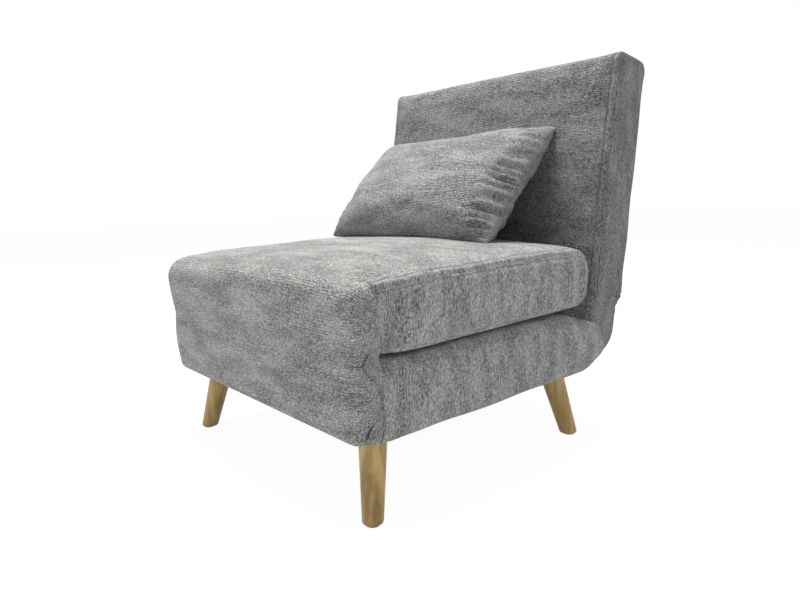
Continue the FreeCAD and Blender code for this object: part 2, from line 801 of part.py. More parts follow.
def make_foot_legs():
    """Two legs that fold against the seat's rear end and stand under the foot of the bed."""
    tube_face = "(%s - foot_leg_radius - play)" % FOOT_TUBE_Y
    brackets = []
    pins = []
    for side in (-1, 1):
        boss = foot_rod(side, "foot_boss_radius", "seat_frame_rear", tube_face)
        bore_end = tube_face + " + cut_over"
        bore = foot_rod(side, "foot_pin_radius + fit", "seat_frame_rear - cut_over", bore_end)
        brackets.append(less(joined([foot_bracket_block(side, "0"), boss]), bore))
        outer_face = "(%s + foot_leg_radius + play)" % FOOT_TUBE_Y
        shaft = foot_rod(side, "foot_pin_radius", "seat_frame_rear + play", outer_face + " + pin_head")
        head = foot_rod(side, "foot_pin_radius + pin_lip", outer_face, outer_face + " + pin_head")
        pins.append(joined([shaft, head]))
    piece("foot_leg_brackets", group(brackets))
    piece("foot_leg_pins", group(pins))

    for side, word in ((-1, "left"), (1, "right")):
        cap_end = "foot_leg_x - %s" % FOOT_LEG_LENGTH
        tube_end = cap_end + " + cap_base"
        cap_start = cap_end + " + cap_length"
        eye_end = "foot_leg_x + foot_eye"
        bore_ends = (tube_end + " - cut_over", eye_end + " + cut_over")
        hollow = foot_bar(side, "foot_leg_radius - tube_wall", *bore_ends)
        bore = foot_rod(side, "foot_pin_radius + fit", "seat_rear", "seat_rear + 3 * foot_leg_standoff")
        tube = less(foot_bar(side, "foot_leg_radius", tube_end, eye_end), hollow, bore)
        piece("foot_leg_" + word, tube)
        cap = less(
            foot_bar(side, "foot_leg_radius + cap_wall", cap_end, cap_start),
            foot_bar(side, "foot_leg_radius", tube_end, cap_start + " + cut_over"),
        )
        piece("foot_leg_cap_" + word, cap)


def back_room():
    """The space of the back frame, its slats and the ratchet plates."""
    half = "(back_frame_half + hinge_plate + play)"
    frame_room = block(
        ("-" + half, half),
        ("-base_tube / 2 - slat_thickness - play", "base_tube / 2 + play"),
        ("back_frame_low - play", "back_frame_high + play"),
    )
    rooms = [frame_room]
    for side in (-1, 1):
        x = mirrored(side, "back_frame_half - back_slot", "%s + back_slot" % HINGE_PLATE_OUTER)
        reach = "(half_back + cut_over)"
        rooms.append(block(x, ("-" + reach, reach), ("-" + reach, "back_frame_low")))
    return rooms


def end_slots():
    """Slots in the lower end of the backrest for the fixed hinge arms."""
    return back_room()[1:]


def lug_block(side, margin):
    outer = "head_leg_x - head_leg_radius - play"
    x = mirrored(side, outer + " - lug_thickness - " + margin, outer + " + " + margin)
    return block(
        x,
        ("base_tube / 2", HEAD_TUBE_U),
        ("head_leg_up - lug_height / 2 - " + margin, "head_leg_up + lug_height / 2 + " + margin),
    )


def make_backrest():
    frame = rail_frame(
        "back_frame_half",
        "(-base_tube / 2)",
        "base_tube",
        ("back_frame_low", "back_frame_high"),
        (
            "back_frame_low",
            "(head_leg_up - base_tube / 2)",
            "(back_frame_high - base_tube)",
        ),
    )
    turn(frame, (1, 0, 0), "90 - back_tilt")
    place(frame, "0", "pivot_y", "pivot_height")
    piece("back_frame", frame)

    slat_half = "(back_frame_half - tube_wall)"
    boards = slats(6, slat_half, "back_frame_low", "back_frame_high", "(base_tube / 2)")
    turn(boards, (1, 0, 0), "90 - back_tilt")
    place(boards, "0", "pivot_y", "pivot_height")
    piece("back_slats", boards)

    outer = cushion("BackForm", BACK_CORNERS, "0", BACK_ROUNDS)
    inner = cushion("BackForm", BACK_CORNERS, "skin", BACK_ROUNDS)
    lugs = [lug_block(side, "play") for side in (-1, 1)]
    piece("back_cover", on_backrest(less(outer, inner, *end_slots(), *lugs)))

    everywhere = ("-overall_height", "overall_height")
    for name, other_half in (
        ("back_foam_front", ("-play / 2", "overall_height")),
        ("back_foam_rear", ("-overall_height", "play / 2")),
    ):
        form = cushion("BackForm", BACK_CORNERS, "(skin + skin_gap)", BACK_ROUNDS)
        rest = block(everywhere, other_half, everywhere)
        lugs = [lug_block(side, "play") for side in (-1, 1)]
        piece(name, on_backrest(less(form, rest, *back_room(), *lugs)))


def make_recline_hinges():
    """Ratchet hinges: a fixed arm on the base frame, a toothed plate on the back frame, a pin."""
    for side, word in ((-1, "left"), (1, "right")):
        inner = HINGE_PLATE_OUTER + " - hinge_plate"
        x = mirrored(side, inner, HINGE_PLATE_OUTER)
        thickness = "(%s) - (%s)" % (x[1], x[0])
        arm = plate("HingeArm", arm_corners("0"), *x)
        boss = rod("boss_radius", (x[0], "pivot_y", "pivot_height"), thickness, "X")
        bore_start = (x[0] + " - cut_over", "pivot_y", "pivot_height")
        bore = rod("recline_pin_radius + fit", bore_start, thickness + " + 2 * cut_over", "X")
        piece("recline_arm_" + word, less(joined([arm, boss]), bore))

        x = mirrored(side, "back_frame_half", "back_frame_half + ratchet_thickness")
        thickness = "(%s) - (%s)" % (x[1], x[0])
        strap = block(x, ("-base_tube / 2", "base_tube / 2"), ("0", "ratchet_strap"))
        disc = rod("ratchet_radius", (x[0], "0", "0"), thickness, "X")
        bore_start = (x[0] + " - cut_over", "0", "0")
        bore = rod("recline_pin_radius + fit", bore_start, thickness + " + 2 * cut_over", "X")
        piece("recline_ratchet_" + word, on_backrest(less(joined([strap, disc]), bore)))

        x = mirrored(side, "back_frame_half - play - pin_head", HINGE_PLATE_OUTER + " + play + pin_head")
        start = (x[0], "pivot_y", "pivot_height")
        far = ("%s - pin_head" % x[1], "pivot_y", "pivot_height")
        pin = [
            rod("recline_pin_radius", start, "(%s) - (%s)" % (x[1], x[0]), "X"),
            rod("recline_pin_radius + pin_lip", start, "pin_head", "X"),
            rod("recline_pin_radius + pin_lip", far, "pin_head", "X"),
        ]
        piece("recline_pin_" + word, joined(pin))


def head_tube(radius, extra):
    """The U of the head leg, hanging from its two pivots behind the backrest."""
    low = "(head_leg_up - %s)" % HEAD_LEG_LENGTH
    reach = "(head_leg_x - head_leg_bend)"
    parts = [rod(radius, ("-" + reach, HEAD_TUBE_U, low), "2 * " + reach, "X")]
    for side in (-1, 1):
        x = "%d * head_leg_x" % side
        foot = low + " + head_leg_bend"
        height = "head_leg_up + head_eye + %s - (%s)" % (extra, foot)
        parts.append(rod(radius, (x, HEAD_TUBE_U, foot), height))
        bend = doc.addObject("Part::Torus", "Bend")
        bind(bend, Radius1="head_leg_bend", Radius2=radius, Angle3="90")
        if side > 0:
            turn(bend, (-1, 0, 0), "90")
        else:
            turn(bend, (0, 1, -1), "180")
        parts.append(place(bend, "%d * %s" % (side, reach), HEAD_TUBE_U, foot))
    return joined(parts)


def head_rod(side, radius, low, high):
    """A cylinder along X on the head leg's pivot line."""
    x = mirrored(side, low, high)
    return rod(radius, (x[0], HEAD_TUBE_U, "head_leg_up"), "(%s) - (%s)" % (x[1], x[0]), "X")


def make_head_leg():
    """A U-shaped leg that folds against the rear of the backrest and stands under the head."""
    lug_outer = "(head_leg_x - head_leg_radius - play)"
    lug_inner = "(%s - lug_thickness)" % lug_outer
    tube_outer = "(head_leg_x + head_leg_radius + play)"
    lugs = []
    pins = []
    bores = []
    for side in (-1, 1):
        eye = head_rod(side, "lug_height / 2", lug_inner, lug_outer)
        bore = head_rod(side, "foot_pin_radius + fit", lug_inner + " - cut_over", lug_outer + " + cut_over")
        lugs.append(less(joined([lug_block(side, "0"), eye]), bore))
        pin_start = lug_inner + " - play - pin_head"
        shaft = head_rod(side, "foot_pin_radius", pin_start, tube_outer + " + pin_head")
        inner_head = head_rod(side, "foot_pin_radius + pin_lip", pin_start, lug_inner + " - play")
        outer_head = head_rod(side, "foot_pin_radius + pin_lip", tube_outer, tube_outer + " + pin_head")
        pins.append(joined([shaft, inner_head, outer_head]))
        bore_ends = (lug_outer + " - cut_over", tube_outer + " + cut_over")
        bores.append(head_rod(side, "foot_pin_radius + fit", *bore_ends))
    piece("head_leg_lugs", on_backrest(group(lugs)))
    piece("head_leg_pins", on_backrest(group(pins)))

    hollow = head_tube("(head_leg_radius - tube_wall)", "cut_over")
    tube = less(head_tube("head_leg_radius", "0"), hollow, *bores)
    piece("head_leg", on_backrest(tube))

    low = "(head_leg_up - %s)" % HEAD_LEG_LENGTH
    sleeves = []
    for side in (-1, 1):
        x = mirrored(side, "sleeve_reach - sleeve_half", "sleeve_reach + sleeve_half")
        start = (x[0], HEAD_TUBE_U, low)
        length = "2 * sleeve_half"
        sleeve = rod("head_leg_radius + cap_wall", start, length, "X")
        sleeves.append(less(sleeve, rod("head_leg_radius", start, length, "X")))
    piece("head_leg_sleeves", on_backrest(group(sleeves)))


def lens(body, name, offset, half_thickness, low, high):
    """A pillow's cross-section: two arcs that meet at its lower and upper edges."""
    sketch = body.newObject("Sketcher::SketchObject", name)
    sketch.AttachmentSupport = [(plane(body, "YZ_Plane"), "")]
    sketch.MapMode = "FlatFace"
    bind(sketch, AttachmentOffset__Base__z=offset)
    tall = SIZES["pillow_height"]
    thick = SIZES["pillow_thickness"] / 3
    foot = FreeCAD.Vector(0, 1, 0)
    top = FreeCAD.Vector(0, tall, 0)
    for sign, start, end in ((1, foot, top), (-1, top, foot)):
        middle = FreeCAD.Vector(sign * thick, tall / 2, 0)
        sketch.addGeometry(Part.ArcOfCircle(start, middle, end))
    sketch.addConstraint(Sketcher.Constraint("Coincident", 0, 2, 1, 1))
    sketch.addConstraint(Sketcher.Constraint("Coincident", 1, 2, 0, 1))
    for end, height in ((1, low), (2, high)):
        sketch.addConstraint(Sketcher.Constraint("PointOnObject", 0, end, -2))
        start = sketch.getPoint(0, end).y
        index = sketch.addConstraint(Sketcher.Constraint("DistanceY", -1, 1, 0, end, start))
        sketch.setExpression("Constraints[%d]" % index, linked(height))
    chord = "((%s) - (%s))" % (high, low)
    radius = "(%s ^ 2 / 4 + (%s) ^ 2) / (2 * (%s))" % (chord, half_thickness, half_thickness)
    for curve in (0, 1):
        start = sketch.Geometry[curve].Radius
        index = sketch.addConstraint(Sketcher.Constraint("Radius", curve, start))
        sketch.setExpression("Constraints[%d]" % index, linked(radius))
    return sketch


def pillow_form(inset):
    """A plump rectangle: full in the middle, thin at the edges, with pointed corners."""
    body = doc.addObject("PartDesign::Body", "PillowForm")
    stations = (
        ("-(pillow_width / 2 - %s)", "pillow_edge / 2", "0"),
        ("-(pillow_width / 2 - pillow_slope - %s)", "pillow_shoulder", "pillow_draw"),
        ("0", "pillow_thickness / 2", "pillow_draw"),
        ("(pillow_width / 2 - pillow_slope - %s)", "pillow_shoulder", "pillow_draw"),
        ("(pillow_width / 2 - %s)", "pillow_edge / 2", "0"),
    )
    sketches = []
    for number, (offset, half, draw) in enumerate(stations):
        offset = offset % inset if "%s" in offset else offset
        half = "(%s - (%s) / 2)" % (half, inset)
        low = "pillow_rise + 2 * (%s)" % inset
        high = "pillow_height - %s - 2 * (%s)" % (draw, inset)
        sketches.append(lens(body, "Lens%d" % number, offset, half, low, high))
    loft = body.newObject("PartDesign::AdditiveLoft", "Loft")
    loft.Profile = sketches[0]
    loft.Sections = sketches[1:]
    doc.recompute()
    return body


def leaning(thing):
    """Lean a piece of the pillow back against the backrest."""
    turn(thing, (-1, 0, 0), "pillow_lean")
    return place(thing, "pillow_x", "pillow_foot_y", "pillow_foot_z")


def make_pillow():
    piece("pillow_cover", leaning(less(pillow_form("0"), pillow_form("skin"))))
    piece("pillow_filling", leaning(pillow_form("(skin + skin_gap)")))
    half = "(pillow_width / 2 - pillow_slope)"
    strip = block(("-" + half, half), ("-zip_half", "zip_half"), ("0", "pillow_rise - skin_gap"))
    piece("pillow_zip", leaning(group([strip])))


make_base()
make_legs()
make_seat()
make_seat_hinges()
make_foot_legs()
make_backrest()
make_recline_hinges()
make_head_leg()
make_pillow()
doc.recompute()

for thing in doc.Objects:
    if "Invalid" in thing.State or "Error" in thing.State:
        raise ValueError("%s (%s) failed: %s" % (thing.Name, thing.Label, thing.State))
for thing in PIECES:
    if thing.Shape.isNull() or not thing.Shape.isValid():
        raise ValueError(thing.Label + " has no valid shape")

os.makedirs("parts", exist_ok=True)
for thing in PIECES:
    thing.Shape.exportStep("parts/%s.step" % thing.Label)
    print("%-24s %d solids, %.1f cm3" % (thing.Label, len(thing.Shape.Solids), thing.Shape.Volume / 1000))
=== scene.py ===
import json
import math

import bmesh
import bpy
import numpy as np
from mathutils import Matrix, Vector
from mathutils.bvhtree import BVHTree


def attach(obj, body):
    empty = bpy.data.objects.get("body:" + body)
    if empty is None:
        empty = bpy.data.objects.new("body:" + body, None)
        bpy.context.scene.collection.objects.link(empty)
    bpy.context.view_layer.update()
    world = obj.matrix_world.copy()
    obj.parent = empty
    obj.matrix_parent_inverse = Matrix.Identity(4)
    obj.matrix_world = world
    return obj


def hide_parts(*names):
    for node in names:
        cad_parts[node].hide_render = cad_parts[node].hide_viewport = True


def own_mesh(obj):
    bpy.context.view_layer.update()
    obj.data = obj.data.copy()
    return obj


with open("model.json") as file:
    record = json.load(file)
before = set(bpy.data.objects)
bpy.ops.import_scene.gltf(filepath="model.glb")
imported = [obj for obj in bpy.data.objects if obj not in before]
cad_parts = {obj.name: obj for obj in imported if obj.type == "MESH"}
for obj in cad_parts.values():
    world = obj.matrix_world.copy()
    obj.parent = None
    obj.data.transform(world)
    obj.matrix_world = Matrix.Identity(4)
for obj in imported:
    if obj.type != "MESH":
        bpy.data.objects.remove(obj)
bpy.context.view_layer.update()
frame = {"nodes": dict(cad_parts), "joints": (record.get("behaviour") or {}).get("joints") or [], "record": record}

scene = bpy.context.scene
joint_places = {joint["name"]: joint.get("pos_m") for joint in frame["joints"]}

# The chair bed's own measures, in metres. Front is -Y and up is +Z.
# The seat turns over about the hinge line, and the backrest reclines about the pivot line.
HALF_WIDTH = 0.375
HINGE_Y, HINGE_Z = joint_places["seat_flip"][1:]
PIVOT_Y, PIVOT_Z = joint_places["backrest_recline"][1:]
# The front panels are pressed flat against this place when the bed is open.
# The two halves of the front panel are open to each other in front of this line, over this half width.
OPEN_Y, OPEN_HALF = -0.362, 0.352
# A point this near to the hinge line's height counts as level with it.
LEVEL = 0.0006
# The sides are pinched in just in front of the hinge line.
PINCH_Y = HINGE_Y - 0.003
# The seat's highest line, and how much its middle stands above its sides.
SEAT_PEAK_Y, SEAT_PEAK_Z = -0.05, 0.4385
SEAT_CROWN = 0.0128
# The backrest's lean, half depth and height, and the free radius about its pivot in the base.
BACK_LEAN = math.radians(8)
BACK_HALF = 0.060
BACK_HEIGHT = 0.6215
CRADLE = 0.0622
# The scatter pillow's size, and the middle of the edge that it stands on.
PILLOW_WIDTH, PILLOW_HEIGHT, PILLOW_HALF = 0.604, 0.356, 0.058
PILLOW_LEAN = math.radians(43)
PILLOW_YAW = math.radians(-1.5)
PILLOW_FOOT = Vector((-0.0765, 0.056, 0.4500))

# The size of a mesh cell, and the degrees round a cushion's edge where it has a ring of points.
CELL = 0.0105
EDGE_TURNS = (20, 40, 58, 75, 90)
SEAM_TURN = 58
# How closely a seam's line is followed, how wide the dent along it is, and how thick its dark line of painted
# shade.
SEAM_STEP = 0.004
SKIRT_WIDTH = 0.0055
SEAM_SHADE_RADIUS, SKIRT_SHADE_RADIUS = 0.0012, 0.0010
# The pressure that swells a cushion, and the frames that it is given.
PRESSURE = 3.0
SWELL_FRAMES = 20

# The photograph's camera, fitted to edge points of the chair.
CAMERA_PLACE = (1.1175, -0.982, 0.5616)
CAMERA_VIEW = (-0.7443, 0.6467, -0.1667)
CAMERA_ROLL = -0.027
CAMERA_LENS = 27.76

# The studio: the strength of its air and of its floor's glow, and the glow's share of the floor.
WHITE = (1, 1, 1, 1)
AIR_LIGHT = 0.27
FLOOR_REACH = 14
FLOOR_GREY = (0.78, 0.78, 0.78, 1)
FLOOR_GLOW, GLOW_SHARE = 1.18, 0.80


class Wiring:
    """Short calls for laying nodes into one tree."""

    def __init__(self, tree):
        self.tree = tree

    def node(self, kind, **settings):
        node = self.tree.nodes.new(kind)
        for name, value in settings.items():
            setattr(node, name, value)
        return node

    def feed(self, socket, value):
        if isinstance(value, bpy.types.NodeSocket):
            self.tree.links.new(value, socket)
        else:
            socket.default_value = value

    def math(self, operation, first, second=0.0, third=0.0):
        node = self.node("ShaderNodeMath", operation=operation)
        for socket, value in zip(node.inputs, (first, second, third)):
            self.feed(socket, value)
        return node.outputs[0]

    def spread(self, value, low, high, to_low=0.0, to_high=1.0):
        node = self.node("ShaderNodeMapRange", interpolation_type="SMOOTHSTEP")
        for socket, amount in zip(node.inputs, (value, low, high, to_low, to_high)):
            self.feed(socket, amount)
        return node.outputs["Result"]

    def blend(self, share, first, second, kind="FLOAT"):
        node = self.node("ShaderNodeMix", data_type=kind)
        place = {"FLOAT": (0, 2, 3, 0), "VECTOR": (0, 4, 5, 1), "RGBA": (0, 6, 7, 2)}[kind]
        for index, value in zip(place[:3], (share, first, second)):
            self.feed(node.inputs[index], value)
        return node.outputs[place[3]]

    def noise(self, vector, scale, detail=2.0, roughness=0.5):
        node = self.node("ShaderNodeTexNoise")
        self.feed(node.inputs["Vector"], vector)
        self.feed(node.inputs["Scale"], scale)
        node.inputs["Detail"].default_value = detail
        node.inputs["Roughness"].default_value = roughness
        return node.outputs["Fac"]

    def total(self, parts):
        """The sum of values, each times its own weight."""
        (value, weight), *others = parts
        result = self.math("MULTIPLY", value, weight)
        for value, weight in others:
            result = self.math("MULTIPLY_ADD", value, weight, result)
        return result

    def mix_shaders(self, share, first, second):
        node = self.node("ShaderNodeMixShader")
        for socket, value in zip(node.inputs, (share, first.outputs[0], second.outputs[0])):
            self.feed(socket, value)
        return node.outputs[0]

    def stretch(self, vector, amounts):
        node = self.node("ShaderNodeVectorMath", operation="MULTIPLY")
        self.feed(node.inputs[0], vector)
        node.inputs[1].default_value = amounts
        return node.outputs[0]


# Camera and light

def photo_camera():
    """A camera that stands where the photograph was taken from."""
    forward = Vector(CAMERA_VIEW).normalized()
    level = forward.cross(Vector((0, 0, 1))).normalized()
    upright = level.cross(forward)
    right = math.cos(CAMERA_ROLL) * level + math.sin(CAMERA_ROLL) * upright
    up = -math.sin(CAMERA_ROLL) * level + math.cos(CAMERA_ROLL) * upright
    data = bpy.data.cameras.new("PhotoCamera")
    data.sensor_width = 36
    data.lens = CAMERA_LENS
    camera = bpy.data.objects.new("PhotoCamera", data)
    turn = Matrix((right, up, -forward)).transposed().to_4x4()
    camera.matrix_world = Matrix.Translation(CAMERA_PLACE) @ turn
    scene.collection.objects.link(camera)
    scene.camera = camera


def area_lamp(name, place, aim, size, power):
    """A round lamp that points at a spot. Its size is in metres and its power in watts."""
    data = bpy.data.lights.new(name, "AREA")
    data.shape = "DISK"
    data.size = size
    data.energy = power
    lamp = bpy.data.objects.new(name, data)
    lamp.location = place
    lamp.rotation_euler = (Vector(aim) - Vector(place)).to_track_quat("-Z", "Y").to_euler()
    scene.collection.objects.link(lamp)


def seen_or_mirrored(w, ways):
    """1 where the camera sees a surface itself or in a glossy one."""
    return w.math("MAXIMUM", ways.outputs["Is Camera Ray"], ways.outputs["Is Glossy Ray"])


def studio_air():
    """Soft light from all round, and a white backdrop for the camera, for gloss and for glass."""
    world = bpy.data.worlds.new("StudioAir")
    world.use_nodes = True
    world.node_tree.nodes.clear()
    w = Wiring(world.node_tree)
    ways = w.node("ShaderNodeLightPath")
    seen = w.math("MAXIMUM", seen_or_mirrored(w, ways), ways.outputs["Is Transmission Ray"])
    light = w.node("ShaderNodeBackground")
    light.inputs["Color"].default_value = WHITE
    light.inputs["Strength"].default_value = AIR_LIGHT
    backdrop = w.node("ShaderNodeBackground")
    backdrop.inputs["Color"].default_value = WHITE
    output = w.node("ShaderNodeOutputWorld")
    w.feed(output.inputs["Surface"], w.mix_shaders(seen, light, backdrop))
    scene.world = world


def pale_floor():
    """A matt floor that keeps the chair's shadow and glows where the camera sees it."""
    mesh = bpy.data.meshes.new("Floor")
    corners = [(x * FLOOR_REACH, y * FLOOR_REACH, 0) for x, y in ((-1, -1), (1, -1), (1, 1), (-1, 1))]
    mesh.from_pydata(corners, [], [(0, 1, 2, 3)])
    floor = bpy.data.objects.new("Floor", mesh)
    scene.collection.objects.link(floor)
    material = bpy.data.materials.new("PaleFloor")
    material.use_nodes = True
    material.node_tree.nodes.clear()
    w = Wiring(material.node_tree)
    matt = w.node("ShaderNodeBsdfDiffuse")
    matt.inputs["Color"].default_value = FLOOR_GREY
    glow = w.node("ShaderNodeEmission")
    glow.inputs["Color"].default_value = WHITE
    glow.inputs["Strength"].default_value = FLOOR_GLOW
    seen = seen_or_mirrored(w, w.node("ShaderNodeLightPath"))
    output = w.node("ShaderNodeOutputMaterial")
    w.feed(output.inputs["Surface"], w.mix_shaders(w.math("MULTIPLY", seen, GLOW_SHARE), matt, glow))
    mesh.materials.append(material)


def studio():
    """Soft light from all round, one large lamp overhead, two weak ones and a pale floor."""
    area_lamp("OverheadLamp", place=(-0.5, 0.25, 2.8), aim=(0, 0, 0.4), size=1.5, power=106)
    area_lamp("FrontLamp", place=(-0.1, -1.7, 0.35), aim=(0, 0, 0.25), size=1.1, power=6)
    area_lamp("SideLamp", place=(2.3, 0.3, 0.75), aim=(0, 0, 0.4), size=1.4, power=10)
    studio_air()
    pale_floor()


# Finishes

def effect_group(name, inputs, outputs):
    """An empty node group with named float inputs and named outputs."""
    group = bpy.data.node_groups.new(name, "ShaderNodeTree")
    for label, value in inputs:
        socket = group.interface.new_socket(label, in_out="INPUT", socket_type="NodeSocketFloat")
        socket.default_value = value
    for label in outputs:
        group.interface.new_socket(label, in_out="OUTPUT", socket_type="NodeSocketFloat")
    wiring = Wiring(group)
    return group, wiring, wiring.node("NodeGroupInput"), wiring.node("NodeGroupOutput")


def chenille_weave():
    """Ribbed, slubby pile: short soft yarn ends in rows, with drifts of lighter and darker pile."""
    inputs = [("Rib Pitch", 0.005)]
    group, w, given, result = effect_group("ChenilleWeave", inputs, ["Tone", "Height"])
    point = w.node("ShaderNodeTexCoord").outputs["Object"]
    row = w.node("ShaderNodeAttribute", attribute_name="row").outputs["Fac"]
    gusset = w.node("ShaderNodeAttribute", attribute_name="gusset").outputs["Fac"]
    across = w.math("GREATER_THAN", gusset, 0.5)
    rows_along_x = w.stretch(point, (0.55, 1.0, 1.0))
    rows_along_z = w.stretch(point, (1.0, 1.0, 0.50))
    yarn_point = w.blend(across, rows_along_x, rows_along_z, "VECTOR")
    waver = w.noise(point, 55, 1.0)
    turns = w.math("DIVIDE", row, given.outputs["Rib Pitch"])
    turns = w.math("ADD", turns, w.math("MULTIPLY", waver, 0.8))
    ribs = w.math("SINE", w.math("MULTIPLY", turns, 2 * math.pi))
    yarn = w.noise(yarn_point, 400, 2.0, 0.6)
    knots = w.noise(yarn_point, 190, 1.0)
    drifts_along_x = w.stretch(point, (0.45, 1.0, 1.6))
    drifts_along_z = w.stretch(point, (1.0, 1.8, 0.5))
    drift_point = w.blend(across, drifts_along_x, drifts_along_z, "VECTOR")
    drift = w.noise(drift_point, 19, 3.5, 0.62)
    bruise = w.noise(point, 7, 2.0)
    yarn_tone = w.spread(yarn, 0.41, 0.61)
    knot_tone = w.spread(knots, 0.3, 0.72)
    drift_tone = w.spread(drift, 0.36, 0.66)
    bruise_tone = w.spread(bruise, 0.35, 0.65)
    pile = ((yarn_tone, 0.50), (knot_tone, 0.18), (drift_tone, 0.25), (bruise_tone, 0.07), (ribs, 0.05))
    tone = w.math("ADD", w.total(pile), 0.03)
    height = w.total(((ribs, 0.30), (yarn_tone, 0.50), (knot_tone, 0.45)))
    w.feed(result.inputs["Tone"], tone)
    w.feed(result.inputs["Height"], height)
    return group


def wood_grain():
    """Long fibres up the leg with darker pores and a slow drift of colour."""
    inputs = [("Fineness", 60.0)]
    group, w, given, result = effect_group("WoodGrain", inputs, ["Tone", "Height"])
    point = w.node("ShaderNodeTexCoord").outputs["Object"]
    long_point = w.stretch(point, (1.0, 1.0, 0.045))
    fibres = w.noise(long_point, w.math("MULTIPLY", given.outputs["Fineness"], 6.0), 3.0, 0.6)
    bands = w.noise(long_point, given.outputs["Fineness"], 2.0)
    drift = w.noise(point, 14, 1.0)
    band_tone = w.spread(bands, 0.3, 0.7)
    fibre_tone = w.spread(fibres, 0.3, 0.7)
    drift_tone = w.spread(drift, 0.35, 0.65)
    tone = w.total(((band_tone, 0.55), (fibre_tone, 0.25), (drift_tone, 0.2)))
    pores = w.spread(fibres, 0.56, 0.66)
    height = w.math("SUBTRACT", w.math("MULTIPLY", fibres, 0.4), w.math("MULTIPLY", pores, 0.6))
    w.feed(result.inputs["Tone"], tone)
    w.feed(result.inputs["Height"], height)
    return group


def worn_coat():
    """Fine orange-peel texture with faint scuffs, for painted, plated and moulded pieces."""
    inputs = [("Grain Scale", 900.0), ("Scuff Scale", 35.0)]
    group, w, given, result = effect_group("WornCoat", inputs, ["Scuffs", "Height"])
    point = w.node("ShaderNodeTexCoord").outputs["Object"]
    grain = w.noise(point, given.outputs["Grain Scale"], 2.0)
    scuffs = w.spread(w.noise(point, given.outputs["Scuff Scale"], 4.0, 0.7), 0.5, 0.72)
    w.feed(result.inputs["Scuffs"], scuffs)
    w.feed(result.inputs["Height"], grain)
    return group


def finish(name, group, effect_values, dark, light, tone_output, bump, **surface):
    """A Principled material whose colour runs from dark to light by a group's output.

    The bump is given by its strength and its depth in metres.
    """
    material = bpy.data.materials.new(name)
    material.use_nodes = True
    w = Wiring(material.node_tree)
    shader = material.node_tree.nodes["Principled BSDF"]
    effect = w.node("ShaderNodeGroup", node_tree=group)
    for label, value in effect_values.items():
        effect.inputs[label].default_value = value
    colour = w.blend(effect.outputs[tone_output], (*dark, 1), (*light, 1), "RGBA")
    w.feed(shader.inputs["Base Color"], colour)
    strength, depth = bump
    relief = w.node("ShaderNodeBump")
    relief.inputs["Strength"].default_value = strength
    relief.inputs["Distance"].default_value = depth
    w.feed(relief.inputs["Height"], effect.outputs["Height"])
    w.feed(shader.inputs["Normal"], relief.outputs["Normal"])
    for label, value in surface.items():
        shader.inputs[label.replace("_", " ")].default_value = value
    return material


def painted_shade_of(colour, share):
    """A darker copy of the same pile colour, by a share: painted shade."""
    return tuple(channel * share for channel in colour)


